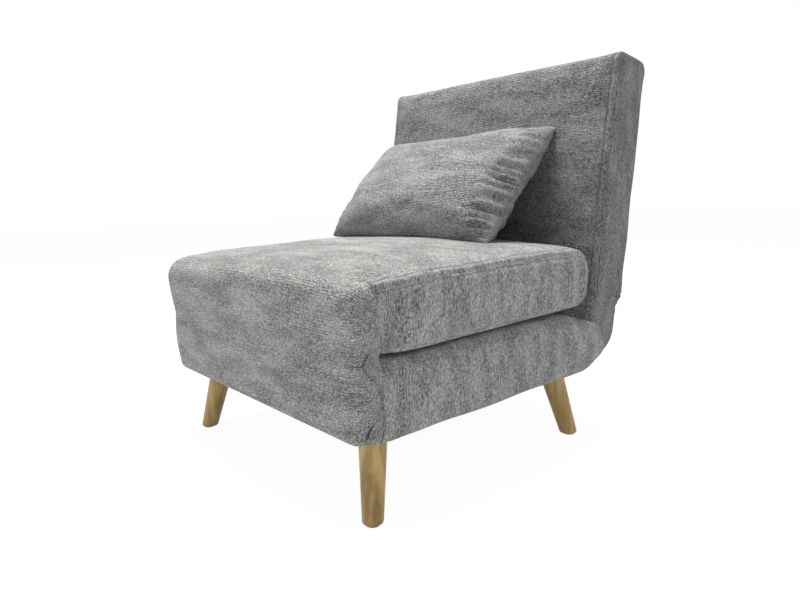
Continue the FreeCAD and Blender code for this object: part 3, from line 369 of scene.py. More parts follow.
def all_finishes():
    """Every material of the chair bed, by the name of its slot or its piece."""
    weave = chenille_weave()
    grain = wood_grain()
    coat = worn_coat()
    chenille = {
        "Roughness": 0.92, "Sheen_Weight": 0.25, "Sheen_Roughness": 0.5, "Specular_IOR_Level": 0.12,
    }
    pile_dark, pile_light = (0.060, 0.060, 0.057), (0.67, 0.67, 0.65)
    return {
        "chenille": finish(
            "GreyChenille", weave, {}, pile_dark, pile_light, "Tone", (0.9, 0.0022), **chenille,
        ),
        # The pillow: the same pile with painted shade, darker all over.
        "pillow_chenille": finish(
            "PillowChenillePaintedShade", weave, {"Rib Pitch": 0.0042},
            painted_shade_of(pile_dark, 0.62), painted_shade_of(pile_light, 0.78), "Tone", (0.9, 0.0020), **chenille,
        ),
        # The backrest: the same pile with painted shade, darker all over, for a face that gets less light.
        "backrest_chenille_painted_shade": finish(
            "BackrestChenillePaintedShade", weave, {"Rib Pitch": 0.0046},
            painted_shade_of(pile_dark, 0.60), painted_shade_of(pile_light, 0.64), "Tone", (0.9, 0.0020), **chenille,
        ),
        # The dark line laid in the seams is painted shade.
        "seam": finish(
            "SeamShadow", weave, {"Rib Pitch": 0.003}, (0.055, 0.055, 0.053), (0.20, 0.20, 0.195),
            "Tone", (0.5, 0.0006), Roughness=0.95, Specular_IOR_Level=0.1,
        ),
        "leg_wood": finish(
            "OiledOak", grain, {}, (0.23, 0.140, 0.044), (0.67, 0.455, 0.178),
            "Tone", (0.35, 0.0004), Roughness=0.42, Specular_IOR_Level=0.45,
        ),
        "slat_wood": finish(
            "BirchPly", grain, {"Fineness": 35.0}, (0.40, 0.26, 0.13), (0.66, 0.50, 0.31),
            "Tone", (0.3, 0.0003), Roughness=0.6,
        ),
        "frame_steel": finish(
            "BlackPowderCoat", coat, {}, (0.012, 0.012, 0.013), (0.05, 0.05, 0.052),
            "Scuffs", (0.25, 0.0002), Roughness=0.42, Specular_IOR_Level=0.5,
        ),
        "bright_steel": finish(
            "ZincPlate", coat, {"Scuff Scale": 80.0}, (0.46, 0.46, 0.48), (0.62, 0.62, 0.63),
            "Scuffs", (0.1, 0.0001), Roughness=0.32, Metallic=1.0,
        ),
        "black_plastic": finish(
            "BlackPlastic", coat, {"Grain Scale": 1400.0}, (0.014, 0.014, 0.014), (0.045, 0.045, 0.045),
            "Scuffs", (0.2, 0.0002), Roughness=0.5,
        ),
        "lining": finish(
            "BlackLining", weave, {"Rib Pitch": 0.002}, (0.006, 0.006, 0.006), (0.03, 0.03, 0.03),
            "Tone", (0.4, 0.0005), Roughness=0.95, Specular_IOR_Level=0.1,
        ),
        "zip": finish(
            "ZipTape", weave, {"Rib Pitch": 0.0022}, (0.05, 0.05, 0.05), (0.22, 0.22, 0.21),
            "Tone", (0.5, 0.0008), Roughness=0.6,
        ),
        "foam": finish(
            "CreamFoam", coat, {"Grain Scale": 500.0}, (0.62, 0.55, 0.36), (0.72, 0.66, 0.47),
            "Scuffs", (0.6, 0.001), Roughness=0.95,
        ),
        "fibre_filling": finish(
            "WhiteFibre", coat, {"Grain Scale": 300.0}, (0.70, 0.70, 0.69), (0.80, 0.80, 0.79),
            "Scuffs", (0.6, 0.001), Roughness=0.95,
        ),
    }


def coat_solids(finishes):
    """Give every carried-over solid the finish of its material slot."""
    for entry in frame["record"]["subparts"]:
        dress(frame["nodes"][entry["node"]], finishes[entry["material_slot"]])


# Mesh tools

def step_between(values, low, high):
    """A smooth step from 0 to 1 as the values pass from low to high."""
    share = np.clip((values - low) / (high - low), 0, 1)
    return share * share * (3 - 2 * share)


def window(values, rise, fall):
    """1 between a rise and a fall, each given by its two ends, and 0 outside them."""
    return step_between(values, *rise) * (1 - step_between(values, *fall))


def side_outline(corners):
    """Points and outward normals of a closed outline in the side view.

    Each corner is given as (y, z, radius), and is an arc of that radius.
    """
    count = len(corners)
    places = [Vector(corner[:2]) for corner in corners]
    runs = []
    for index, corner in enumerate(corners):
        radius = corner[2]
        before = (places[index - 1] - places[index]).normalized()
        after = (places[(index + 1) % count] - places[index]).normalized()
        half_angle = before.angle(after) / 2
        reach = radius / math.tan(half_angle)
        start = places[index] + before * reach
        end = places[index] + after * reach
        runs.append((start, end, radius, math.pi - 2 * half_angle, before, after))
    points, normals = [], []
    for index, (start, end, radius, turn, before, after) in enumerate(runs):
        arrive = Vector((-before.y, before.x))
        leave = Vector((after.y, -after.x))
        pieces = max(1, round(turn * radius / CELL)) if radius else 0
        for number in range(pieces + 1):
            share = number / pieces if pieces else 0.5
            normal = arrive.slerp(leave, share) if turn > 1e-4 else arrive
            if radius:
                centre = start - arrive * radius
                spot = centre + normal * radius
            else:
                spot = places[index]
            points.append(spot.copy())
            normals.append(normal.normalized())
        following = runs[(index + 1) % count][0]
        length = (following - end).length
        cells = max(1, round(length / CELL))
        for number in range(1, cells):
            points.append(end.lerp(following, number / cells))
            normals.append(leave.copy())
    return np.array(points), np.array(normals)


def cushion_mesh(name, corners, spine, edge_round, seam_draw):
    """A closed cushion: an outline carried across the width, with rounded ends and gussets.

    The gussets close on a spine, given by its two ends in the side view, in steps of two cells.
    The edge round may differ from point to point, and at the hinge line it draws no point up or
    down. The ring where gusset and body meet is drawn in as a seam.
    Returns the object and the seam's path at the right-hand end.
    """
    outline, normals = side_outline(corners)
    at_hinge = (np.abs(outline[:, 1] - HINGE_Z) < LEVEL) & (outline[:, 0] < OPEN_Y + 0.002)
    normals[at_hinge, 1] = 0
    rounds = edge_round(outline)
    low, high = spine
    rings = []
    bays = round(2 * HALF_WIDTH / CELL)
    for number in range(bays + 1):
        share = 2 * number / bays - 1
        rings.append((share * (HALF_WIDTH - rounds), outline))
    for turn in EDGE_TURNS:
        bend = math.radians(turn)
        inward = rounds * (1 - math.cos(bend))
        x = HALF_WIDTH - rounds * (1 - math.sin(bend))
        if turn == SEAM_TURN:
            draw = seam_draw(outline)
            inward = inward + draw
            x = x - 0.35 * draw
            seam_path = np.column_stack([x, outline - normals * inward[:, None]])
        ring = outline - normals * inward[:, None]
        rings.append((x, ring))
        rings.insert(0, (-x, ring))
    edge = rings[-1][1]
    centre = low + np.round((np.clip(edge, low, high) - low) / (2 * CELL)) * 2 * CELL
    centre = np.minimum(centre, high)
    reach = np.linalg.norm(edge - centre, axis=1).max()
    steps = max(3, round(reach / CELL))
    for number in range(1, steps + 1):
        ring = edge + (centre - edge) * (number / steps)
        rings.append((np.full(len(ring), HALF_WIDTH), ring))
        rings.insert(0, (np.full(len(ring), -HALF_WIDTH), ring))
    size = len(outline)
    points = np.concatenate([np.column_stack([np.broadcast_to(x, size), ring]) for x, ring in rings])
    lengths = np.linalg.norm(outline - np.roll(outline, 1, axis=0), axis=1)
    along = np.cumsum(lengths) - lengths[0]
    along -= lengths.sum() * (along > lengths.sum() / 2)
    faces = []
    for row in range(len(rings) - 1):
        for column in range(size):
            other = (column + 1) % size
            here, there = row * size, (row + 1) * size
            faces.append((here + column, here + other, there + other, there + column))
    piece = closed_piece(name, points, faces, np.tile(along, len(rings)))
    return piece, seam_path


def closed_piece(name, points, faces, rows):
    """A closed mesh that carries the place of each point along the weave's rows."""
    mesh = bpy.data.meshes.new(name)
    mesh.from_pydata([tuple(point) for point in points], [], faces)
    mesh.attributes.new("row", "FLOAT", "POINT").data.foreach_set("value", rows)
    solid = bmesh.new()
    solid.from_mesh(mesh)
    bmesh.ops.remove_doubles(solid, verts=solid.verts, dist=0.0004)
    bmesh.ops.recalc_face_normals(solid, faces=solid.faces)
    solid.to_mesh(mesh)
    solid.free()
    mesh.shade_smooth()
    piece = bpy.data.objects.new(name, mesh)
    scene.collection.objects.link(piece)
    return piece


def turn_gussets(piece, beyond):
    """Turn the weave upright on the gussets, behind a line of the side view."""
    mesh = piece.data
    points = points_of(mesh)
    on_gusset = (side_share(points) > 0.6) & (points[:, 1] > beyond(points[:, 2]))
    rows = np.empty(len(points))
    mesh.attributes["row"].data.foreach_get("value", rows)
    mesh.attributes["row"].data.foreach_set("value", np.where(on_gusset, points[:, 1], rows))
    mesh.attributes.new("gusset", "FLOAT", "POINT").data.foreach_set("value", on_gusset.astype(float))


def points_of(mesh):
    """A mesh's points as an array with three columns."""
    flat = np.empty(len(mesh.vertices) * 3)
    mesh.vertices.foreach_get("co", flat)
    return flat.reshape(-1, 3)


def set_points(mesh, points):
    """Move a mesh's points to the places in an array with three columns."""
    mesh.vertices.foreach_set("co", np.ascontiguousarray(points, float).ravel())
    mesh.update()


def drop_faces(piece, test):
    """Delete the faces whose middle passes a test, and whatever only they used."""
    solid = bmesh.new()
    solid.from_mesh(piece.data)
    gone = [face for face in solid.faces if test(face.calc_center_median())]
    bmesh.ops.delete(solid, geom=gone, context="FACES")
    solid.to_mesh(piece.data)
    solid.free()


def swell(piece, cap, hold=None, stiffness=15.0):
    """Blow the padding up under its cover, and let no point move further than the cap."""
    before = points_of(piece.data)
    cloth = piece.modifiers.new("Padding", "CLOTH")
    settings = cloth.settings
    settings.quality = 6
    settings.mass = 0.3
    settings.tension_stiffness = stiffness
    settings.compression_stiffness = stiffness
    settings.shear_stiffness = 5
    settings.bending_stiffness = 0.4
    settings.use_pressure = True
    settings.uniform_pressure_force = PRESSURE
    settings.effector_weights.gravity = 0
    cloth.collision_settings.use_collision = False
    cloth.point_cache.frame_start = 1
    cloth.point_cache.frame_end = SWELL_FRAMES + 4
    for number in range(1, SWELL_FRAMES + 1):
        scene.frame_set(number)
    shaped = piece.evaluated_get(bpy.context.evaluated_depsgraph_get())
    after = points_of(shaped.data).copy()
    piece.modifiers.remove(cloth)
    scene.frame_set(1)
    move = after - before
    length = np.linalg.norm(move, axis=1)
    limit = cap * np.tanh(length / cap) / np.maximum(length, 1e-9)
    move *= limit[:, None]
    if hold is not None:
        move *= (1 - hold(before))[:, None]
    set_points(piece.data, before + move)


def refine(piece):
    """Split every face once and smooth."""
    modifier = piece.modifiers.new("Refine", "SUBSURF")
    modifier.levels = 1
    modifier.render_levels = 1
    shaped = piece.evaluated_get(bpy.context.evaluated_depsgraph_get())
    mesh = bpy.data.meshes.new_from_object(shaped)
    piece.modifiers.remove(modifier)
    piece.data = mesh
    mesh.shade_smooth()


def groove(points, path, depth, width):
    """How far each point sinks because of a seam along a path of points."""
    nearest = np.full(len(points), np.inf)
    for start, end in zip(path[:-1], path[1:]):
        run = end - start
        share = np.clip(((points - start) @ run) / max(run @ run, 1e-12), 0, 1)
        nearest = np.minimum(nearest, np.linalg.norm(points - start - share[:, None] * run, axis=1))
    return depth * np.exp(-(nearest / width) ** 2)


def surface_tree(piece):
    """A piece's faces, ready to be asked for the nearest place on them."""
    mesh = piece.data
    return BVHTree.FromPolygons([v.co for v in mesh.vertices], [p.vertices for p in mesh.polygons])


def sewn_seam(piece, path, depth=0.0024, width=0.0060):
    """Draw a cushion's surface in along a seam, with a soft lip on both sides of it, and lay a dark line of
    painted shade along it.
    """
    tree = surface_tree(piece)
    found = [tree.find_nearest(Vector(spot))[:2] for spot in path]
    line = np.array([place for place, normal in found])
    facing = np.array([normal for place, normal in found])
    points = points_of(piece.data)
    gap = np.linalg.norm(points[:, None] - line[None], axis=2)
    nearest = gap.argmin(axis=1)
    distance = gap[np.arange(len(points)), nearest]
    lip = 0.55 * np.exp(-((distance - 2.3 * width) / width) ** 2)
    draw = np.exp(-(distance / width) ** 2) - lip
    points -= facing[nearest] * (depth * draw)[:, None]
    set_points(piece.data, points)
    seam_shade_line(piece, path, SEAM_SHADE_RADIUS)


def seam_shade_line(piece, path, radius, sink=0.0001):
    """Lay a thin dark line of painted shade along a seam on a cushion's surface and join it to the cushion."""
    tree = surface_tree(piece)
    lay = []
    for spot in path:
        place, normal = tree.find_nearest(Vector(spot))[:2]
        lay.append(place - normal * sink)
    sides = 6
    points, faces = [], []
    for index, spot in enumerate(lay):
        ahead = lay[min(index + 1, len(lay) - 1)] - lay[max(index - 1, 0)]
        turn = ahead.to_track_quat("Z", "Y").to_matrix()
        for number in range(sides):
            angle = 2 * math.pi * number / sides
            points.append(spot + turn @ Vector((radius * math.cos(angle), radius * math.sin(angle), 0)))
    for ring in range(len(lay) - 1):
        for number in range(sides):
            other = (number + 1) % sides
            here, there = ring * sides, (ring + 1) * sides
            faces.append((here + number, here + other, there + other, there + number))
    add_to_piece(piece, points, faces, 1)


def add_to_piece(piece, points, faces, slot):
    """Join smooth faces to a piece, in one of its material slots."""
    solid = bmesh.new()
    solid.from_mesh(piece.data)
    corners = [solid.verts.new(point) for point in points]
    for face in faces:
        made = solid.faces.new([corners[index] for index in face])
        made.material_index = slot
        made.smooth = True
    solid.to_mesh(piece.data)
    solid.free()


def both_sides(path):
    """A path on the right-hand side, and its mirror image on the left."""
    mirrored = np.array(path) * np.array([-1, 1, 1])
    return [np.array(path), mirrored]


def seam_runs(path, test):
    """Stretches of a closed path whose points pass a test, in order."""
    flags = [test(spot) for spot in path]
    if all(flags):
        return [np.concatenate([path, path[:1]])]
    start = next(index for index in range(len(path)) if flags[index] and not flags[index - 1])
    runs, run = [], []
    for offset in range(len(path)):
        index = (start + offset) % len(path)
        if flags[index]:
            run.append(path[index])
        elif run:
            runs.append(np.array(run))
            run = []
    if run:
        runs.append(np.array(run))
    return [run for run in runs if len(run) > 1]


def dense(path):
    """The same line with points close together."""
    line = [path[0]]
    for start, end in zip(path[:-1], path[1:]):
        cells = max(1, round(np.linalg.norm(end - start) / SEAM_STEP))
        for number in range(1, cells + 1):
            line.append(start + (end - start) * number / cells)
    return np.array(line)


def part_off(piece, name, test):
    """Split a piece in two along its own edges, and keep the shading smooth across the split.

    The front panel runs on over the hinge line, so both sections face straight forwards there.
    """
    mesh = piece.data
    solid = bmesh.new()
    solid.from_mesh(mesh)
    everything = solid.verts[:] + solid.edges[:] + solid.faces[:]
    bmesh.ops.bisect_plane(solid, geom=everything, plane_co=(0, HINGE_Y, 0), plane_no=(0, 1, 0))
    solid.to_mesh(mesh)
    solid.free()
    flat = np.empty(len(mesh.vertices) * 3)
    mesh.vertex_normals.foreach_get("vector", flat)
    normals = flat.reshape(-1, 3)
    points = points_of(mesh)
    on_front = 1 - step_between(points[:, 1], -0.41, -0.37)
    near = np.exp(-((points[:, 2] - HINGE_Z) / 0.030) ** 2) * on_front
    normals[:, 2] *= 1 - near
    normals /= np.linalg.norm(normals, axis=1)[:, None]
    kept = mesh.attributes.new("whole_normal", "FLOAT_VECTOR", "POINT")
    kept.data.foreach_set("vector", normals.ravel())
    other = piece.copy()
    other.data = mesh.copy()
    other.name = name
    scene.collection.objects.link(other)
    drop_faces(piece, test)
    drop_faces(other, lambda spot: not test(spot))
    for part in (piece, other):
        stored = part.data.attributes["whole_normal"]
        flat = np.empty(len(part.data.vertices) * 3)
        stored.data.foreach_get("vector", flat)
        part.data.attributes.remove(stored)
        part.data.normals_split_custom_set_from_vertices(flat.reshape(-1, 3).tolist())
    return other


def dress(piece, *materials):
    """Give a piece its materials, in the order of its slots."""
    piece.data.materials.clear()
    for material in materials:
        piece.data.materials.append(material)


# The seat and base sections, each with its half of the front panel

def front_corner_round(outline):
    """Soft vertical corners at the front, tight sewn edges elsewhere."""
    return 0.012 + 0.022 * step_between(-outline[:, 0], 0.372, 0.418)


def base_edge_round(outline):
    """The base's upper edges fall away more softly, under the seat."""
    upper = step_between(outline[:, 1], 0.272, 0.292) * step_between(outline[:, 0], -0.34, -0.30)
    return front_corner_round(outline) + 0.010 * upper


def gusset_seam(outline):
    """The seam's draw, which fades out where the front panel wraps the corner."""
    return 0.0026 * (1 - step_between(-outline[:, 0], 0.385, 0.405))


def side_share(points):
    """1 on the gussets and 0 on the rest of a section."""
    return step_between(np.abs(points[:, 0]), 0.335, 0.366)


def behind_panel(points):
    """0 on a section's front panel and 1 on the rest of it."""
    return step_between(points[:, 1], -0.37, -0.30)


def between_halves(spot):
    """Whether a face would shut the two halves of the front panel off from each other."""
    return abs(spot.z - HINGE_Z) < LEVEL and spot.y < OPEN_Y and abs(spot.x) < OPEN_HALF


def pinch_draw(points):
    """How far the sides are drawn in round the two pinch points at the hinge line."""
    distance = np.hypot(points[:, 1] - PINCH_Y, points[:, 2] - HINGE_Z)
    return 0.020 * np.exp(-(distance / 0.022) ** 2) + 0.009 * np.exp(-(distance / 0.07) ** 2)


def pinch_folds(points, upward):
    """Soft folds that fan out from the pinch over the gusset."""
    across = points[:, 1] - PINCH_Y
    up = (points[:, 2] - HINGE_Z) * (1 if upward else -1)
    distance = np.hypot(across, up)
    angle = np.degrees(np.arctan2(up, across))
    if upward:
        fan = np.cos(np.radians((angle - 92) * 360 / 19))
        fan = fan + 0.5 * np.cos(np.radians((angle - 70) * 360 / 31))
        spread = window(angle, (28, 50), (104, 122))
        size, fade = 0.0066, 0.100
    else:
        fan = np.cos(np.radians((angle - 64) * 360 / 26))
        spread = window(angle, (30, 50), (96, 112))
        size, fade = 0.0040, 0.07
    near = step_between(distance, 0.006, 0.03)
    return size * fan * spread * near * np.exp(-distance / fade)


def ripple(points, scale, seed):
    """Gentle unevenness between about -3 and 3, the same every time. A greater scale is finer."""
    x, y, z = (points * scale).T
    wave = np.sin(x + 1.3 * np.sin(y * 0.7 + seed))
    wave = wave + np.sin(y * 1.1 + 1.7 * np.sin(z * 0.9 + 2 * seed))
    return wave + np.sin(z * 1.3 + 1.1 * np.sin(x * 0.6 + 3 * seed))


def shape_seat(points):
    """Crown, gusset fullness, pinches and folds of the seat section."""
    shaped = points.copy()
    top = step_between(points[:, 2], 0.36, 0.425)
    middle = 1 - (points[:, 0] / HALF_WIDTH) ** 2
    shaped[:, 2] += top * SEAT_CROWN * middle
    shaped[:, 2] += top * 0.0012 * ripple(points, 14, 0.4)
    side = side_share(points)
    gusset_foot, gusset_height = 0.303, 0.13
    height = np.clip((points[:, 2] - gusset_foot) / gusset_height, 0, 1)
    behind = behind_panel(points)
    full = 0.007 * np.sin(math.pi * height) * behind
    folds = pinch_folds(points, True)
    soft = 0.0012 * ripple(points, 30, 1.1) * behind
    sign = np.sign(points[:, 0])
    shaped[:, 0] += sign * side * (full + folds - pinch_draw(points) + soft)
    front = 1 - step_between(points[:, 1], -0.43, -0.40)
    fade = step_between(points[:, 2], 0.297, 0.33)
    shaped[:, 1] += front * fade * (0.0012 * ripple(points, 11, 2.2) - 0.003)
    shaped[:, 0] *= 1 + 0.010 * step_between(points[:, 2], 0.315, 0.38)
    return shaped


def shape_base(points):
    """Cradle for the backrest, gusset fullness, pinches and folds of the base section.

    The underside is drawn up inside the frame, where the lining cloth lies below it.
    """
    shaped = points.copy()
    inside = 1 - step_between(np.abs(points[:, 0]), 0.3585, 0.3645)
    lean_cos, lean_sin = math.cos(BACK_LEAN), math.sin(BACK_LEAN)
    across = (points[:, 1] - PIVOT_Y) * lean_cos - (points[:, 2] - PIVOT_Z) * lean_sin
    along = (points[:, 1] - PIVOT_Y) * lean_sin + (points[:, 2] - PIVOT_Z) * lean_cos
    distance = np.maximum(np.hypot(across, along), 1e-6)
    above = along >= 0
    push = np.where(distance < CRADLE, CRADLE / distance, 1.0)
    clear_across = np.where(above, np.minimum(across, -CRADLE), across * push)
    clear_along = np.where(above, along, along * push)
    clear_y = PIVOT_Y + clear_across * lean_cos + clear_along * lean_sin
    clear_z = PIVOT_Z - clear_across * lean_sin + clear_along * lean_cos
    shaped[:, 1] += inside * (clear_y - points[:, 1])
    shaped[:, 2] += inside * (clear_z - points[:, 2])
    side = side_share(points)
    gusset_foot, gusset_height = 0.160, 0.135
    height = np.clip((points[:, 2] - gusset_foot) / gusset_height, 0, 1)
    behind = behind_panel(points)
    full = 0.005 * np.sin(math.pi * height) * behind
    folds = pinch_folds(points, False)
    soft = 0.0014 * ripple(points, 26, 0.7) * behind
    shaped[:, 0] += np.sign(points[:, 0]) * side * (full + folds + soft - pinch_draw(points))
    bottom = 1 - step_between(points[:, 2], 0.158, 0.17)
    lining_half, lining_front, lining_rear = 0.246, (-0.242, -0.236), (0.092, 0.098)
    opening = step_between(lining_half - np.abs(points[:, 0]), 0, 0.006)
    opening *= window(points[:, 1], lining_front, lining_rear)
    shaped[:, 2] += 0.0055 * bottom * opening
    return shaped


def seat_hold(points):
    """Where the seat's swelling is held: on the front panel and along the underside."""
    front = 1 - step_between(points[:, 1], -0.40, -0.33)
    under = 1 - step_between(points[:, 2], 0.315, 0.36)
    return np.maximum(front, under)


def sink_skirts(points, skirt, depth):
    """Draw both sides in along the seam between gusset and front panel."""
    for side in both_sides(skirt):
        sink = groove(points, side, depth, SKIRT_WIDTH)
        points[:, 0] -= np.sign(points[:, 0]) * sink


def make_seat_section(finishes):
    """The seat's cushion and the upper half of the front panel, cut from one closed form."""
    corners = [
        (-0.430, HINGE_Z, 0),
        (OPEN_Y, HINGE_Z, 0.004),
        (-0.352, 0.3030, 0.004),
        (0.220, 0.3130, 0.040),
        (0.220, 0.4325, 0.042),
        (SEAT_PEAK_Y, SEAT_PEAK_Z, 2.0),
        (-0.436, 0.4235, 0.040),
        (-0.436, 0.375, 0.30),
    ]
    spine = (np.array([-0.365, 0.366]), np.array([0.150, 0.366]))
    piece, seam = cushion_mesh("seat_cushion", corners, spine, front_corner_round, gusset_seam)
    drop_faces(piece, between_halves)
    swell(piece, 0.008, seat_hold)
    refine(piece)
    skirt = np.array([
        (0.372, -0.389, 0.418),
        (0.376, -0.383, 0.385),
        (0.374, -0.374, 0.345),
        (0.365, -0.362, 0.309),
    ])
    turn_gussets(piece, lambda up: np.interp(up, skirt[::-1, 2], skirt[::-1, 1]))
    points = shape_seat(points_of(piece.data))
    sink_skirts(points, skirt, 0.0030)
    set_points(piece.data, points)
    for run in seam_runs(seam, lambda spot: spot[1] > -0.395 and spot[2] > 0.300):
        for side in both_sides(run):
            sewn_seam(piece, dense(shape_seat(side)))
    # Dark lines of painted shade along the seams between the gussets and the front panel.
    for side in both_sides(dense(skirt)):
        seam_shade_line(piece, side, SKIRT_SHADE_RADIUS)
    dress(piece, finishes["chenille"], finishes["seam"])
    front = part_off(piece, "seat_front_panel", lambda spot: spot.y < HINGE_Y)
    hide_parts("seat_cover", "seat_foam_upper", "seat_foam_lower")
    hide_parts("front_pad_upper")
    for part in (piece, front):
        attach(part, "seat")
    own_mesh(front)


def make_base_section(finishes):
    """The base's cushion and the lower half of the front panel, cut from one closed form."""
    corners = [
        (-0.430, HINGE_Z, 0),
        (-0.4345, 0.240, 0.30),
        (-0.424, 0.158, 0.012),
        (0.222, 0.158, 0.060),
        (0.290, 0.196, 0.020),
        (0.262, 0.262, 0.024),
        (0.150, 0.297, 0.060),
        (-0.090, 0.301, 0.6),
        (-0.350, 0.2938, 0.004),
        (OPEN_Y, HINGE_Z, 0.004),
    ]
    spine = (np.array([-0.365, 0.228]), np.array([0.205, 0.228]))
    piece, seam = cushion_mesh("base_cushion", corners, spine, base_edge_round, gusset_seam)
    drop_faces(piece, between_halves)
    refine(piece)
    skirt = np.array([
        (0.365, -0.360, 0.288),
        (0.374, -0.371, 0.250),
        (0.376, -0.376, 0.200),
        (0.370, -0.377, 0.164),
    ])
    turn_gussets(piece, lambda up: np.interp(up, skirt[::-1, 2], skirt[::-1, 1]))
    points = shape_base(points_of(piece.data))
    sink_skirts(points, skirt, 0.0028)
    set_points(piece.data, points)
    # Dark lines of painted shade along the seams between the gussets and the front panel.
    for side in both_sides(dense(skirt)):
        seam_shade_line(piece, side, SKIRT_SHADE_RADIUS)
    dress(piece, finishes["chenille"], finishes["seam"])
    front = part_off(piece, "base_front_panel", lambda spot: spot.y < HINGE_Y)
    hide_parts("base_cover", "base_foam")
    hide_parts("front_pad_lower")
    for part in (piece, front):
        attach(part, "base")
    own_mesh(front)


# The backrest

def stand_back(points):
    """Carry points from the backrest's own upright frame to its lean behind the seat."""
    across, along = points[:, 1], points[:, 2]
    placed = points.copy()
    placed[:, 1] = PIVOT_Y + across * math.cos(BACK_LEAN) + along * math.sin(BACK_LEAN)
    placed[:, 2] = PIVOT_Z - across * math.sin(BACK_LEAN) + along * math.cos(BACK_LEAN)
    return placed


def shape_back(points):
    """Fullness of the backrest's face, its tucked lower end and the bunched fabric there."""
    shaped = points.copy()
    along = points[:, 2]
    sign = np.sign(points[:, 0])
    middle = 1 - (points[:, 0] / HALF_WIDTH) ** 2
    rise = np.sin(math.pi * np.clip(along / BACK_HEIGHT, 0, 1))
    face = step_between(-points[:, 1], 0.035, 0.055)
    rear = step_between(points[:, 1], 0.035, 0.055)
    body = step_between(along, 0.03, 0.12)
    shaped[:, 1] -= face * 0.006 * middle * rise * body
    shaped[:, 1] += rear * body * (0.003 + 0.003 * middle * rise)
    shaped[:, 0] *= 1 + 0.0095 * body
    shaped[:, 1] -= face * body * 0.0009 * ripple(points, 13, 1.9)
    side = side_share(points)
    tuck = 1 - step_between(along, 0.040, 0.085)
    shaped[:, 0] -= sign * side * 0.0125 * tuck
    bunch = np.exp(-((along - 0.075) / 0.022) ** 2) * step_between(points[:, 1], -0.055, 0.0)
    folds = np.sin(along * 420 + points[:, 1] * 160)
    shaped[:, 0] += sign * side * (0.0022 * folds * bunch - 0.002 * bunch)
    shaped[:, 0] += sign * side * 0.0008 * ripple(points, 24, 0.9) * body
    top = step_between(along, BACK_HEIGHT - 0.03, BACK_HEIGHT - 0.01)
    shaped[:, 2] += top * 0.002 * middle
    return shaped


def back_round(outline):
    """The backrest's edges are rounded alike all round."""
    return np.full(len(outline), 0.009)


def back_seam(outline):
    """The backrest's side seams are drawn in alike all round."""
    return np.full(len(outline), 0.0022)


def back_hold(points):
    """The lower end keeps its round, so that it turns freely in the base."""
    return 1 - step_between(points[:, 2], 0.06, 0.14)


def make_backrest(finishes):
    """The backrest's cushion, shaped upright and then leant back behind the seat."""
    bottom = BACK_HALF - 0.0005
    corners = [
        (-BACK_HALF, -BACK_HALF, bottom),
        (BACK_HALF, -BACK_HALF, bottom),
        (BACK_HALF, BACK_HEIGHT, 0.022),
        (-BACK_HALF, BACK_HEIGHT, 0.016),
    ]
    spine = (np.array([0.0, 0.0]), np.array([0.0, BACK_HEIGHT - 0.06]))
    piece, seam = cushion_mesh("backrest_cushion", corners, spine, back_round, back_seam)
    swell(piece, 0.006, back_hold)
    refine(piece)
    turn_gussets(piece, lambda up: np.full(len(up), -1.0))
    set_points(piece.data, stand_back(shape_back(points_of(piece.data))))
    for run in seam_runs(seam, lambda spot: spot[2] > 0.05):
        for side in both_sides(run):
            sewn_seam(piece, dense(stand_back(shape_back(side))), 0.0018)
    # The backrest's pile is darkened all over: painted shade.
    dress(piece, finishes["backrest_chenille_painted_shade"], finishes["seam"])
    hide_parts("back_cover", "back_foam_front", "back_foam_rear")
    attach(piece, "backrest")


# The scatter pillow

def seat_top(x, y):
    """Height of the seat's crowned top, which falls away from its highest line like a parabola."""
    return SEAT_PEAK_Z - (y - SEAT_PEAK_Y) ** 2 / 11 + SEAT_CROWN * (1 - (x / HALF_WIDTH) ** 2)


def pillow_point(face, across, up):
    """A point of the filled pillow before it leans, from its place on the panel (-1 to 1 each way)."""
    plump = math.sqrt(max(0.0, (1 - abs(across) ** 2.6) * (1 - abs(up) ** 2.3)))
    soft = 0.11 if across < 0 < up else 0.03
    corner = 1 - soft * across ** 6 * up ** 6
    waist = 1 - 0.030 * (1 - up ** 2) * across ** 2
    sag = 1 - 0.030 * (1 - across ** 2) * up ** 2
    x = across * PILLOW_WIDTH / 2 * waist * corner
    z = up * PILLOW_HEIGHT / 2 * sag * corner
    return (x, face * PILLOW_HALF * plump, z)


def edge_folds(points):
    """Short gathers that run in from the two side seams and the corners."""
    shaped = points.copy()
    across = points[:, 0] / (PILLOW_WIDTH / 2)
    up = points[:, 2] / (PILLOW_HEIGHT / 2)
    from_side = (1 - np.abs(across)) * PILLOW_WIDTH / 2
    right = step_between(across, -0.3, 0.5)
    gathers = np.sin(up * 46 + from_side * 60 + 2.0 * np.sin(up * 9)) + 0.5 * np.sin(up * 27 + 1.3)
    size = (0.0014 + 0.0042 * right) * np.exp(-((from_side - 0.050) / 0.030) ** 2)
    size *= 0.6 + 0.4 * np.cos(up * 2.2 + 0.6)
    shaped[:, 1] += np.sign(points[:, 1]) * size * gathers
    creases = np.sin(across * 13 + up * 9) * np.exp(-((from_side - 0.11) / 0.06) ** 2)
    shaped[:, 1] += np.sign(points[:, 1]) * 0.0034 * creases * (1 - up ** 2)
    return shaped


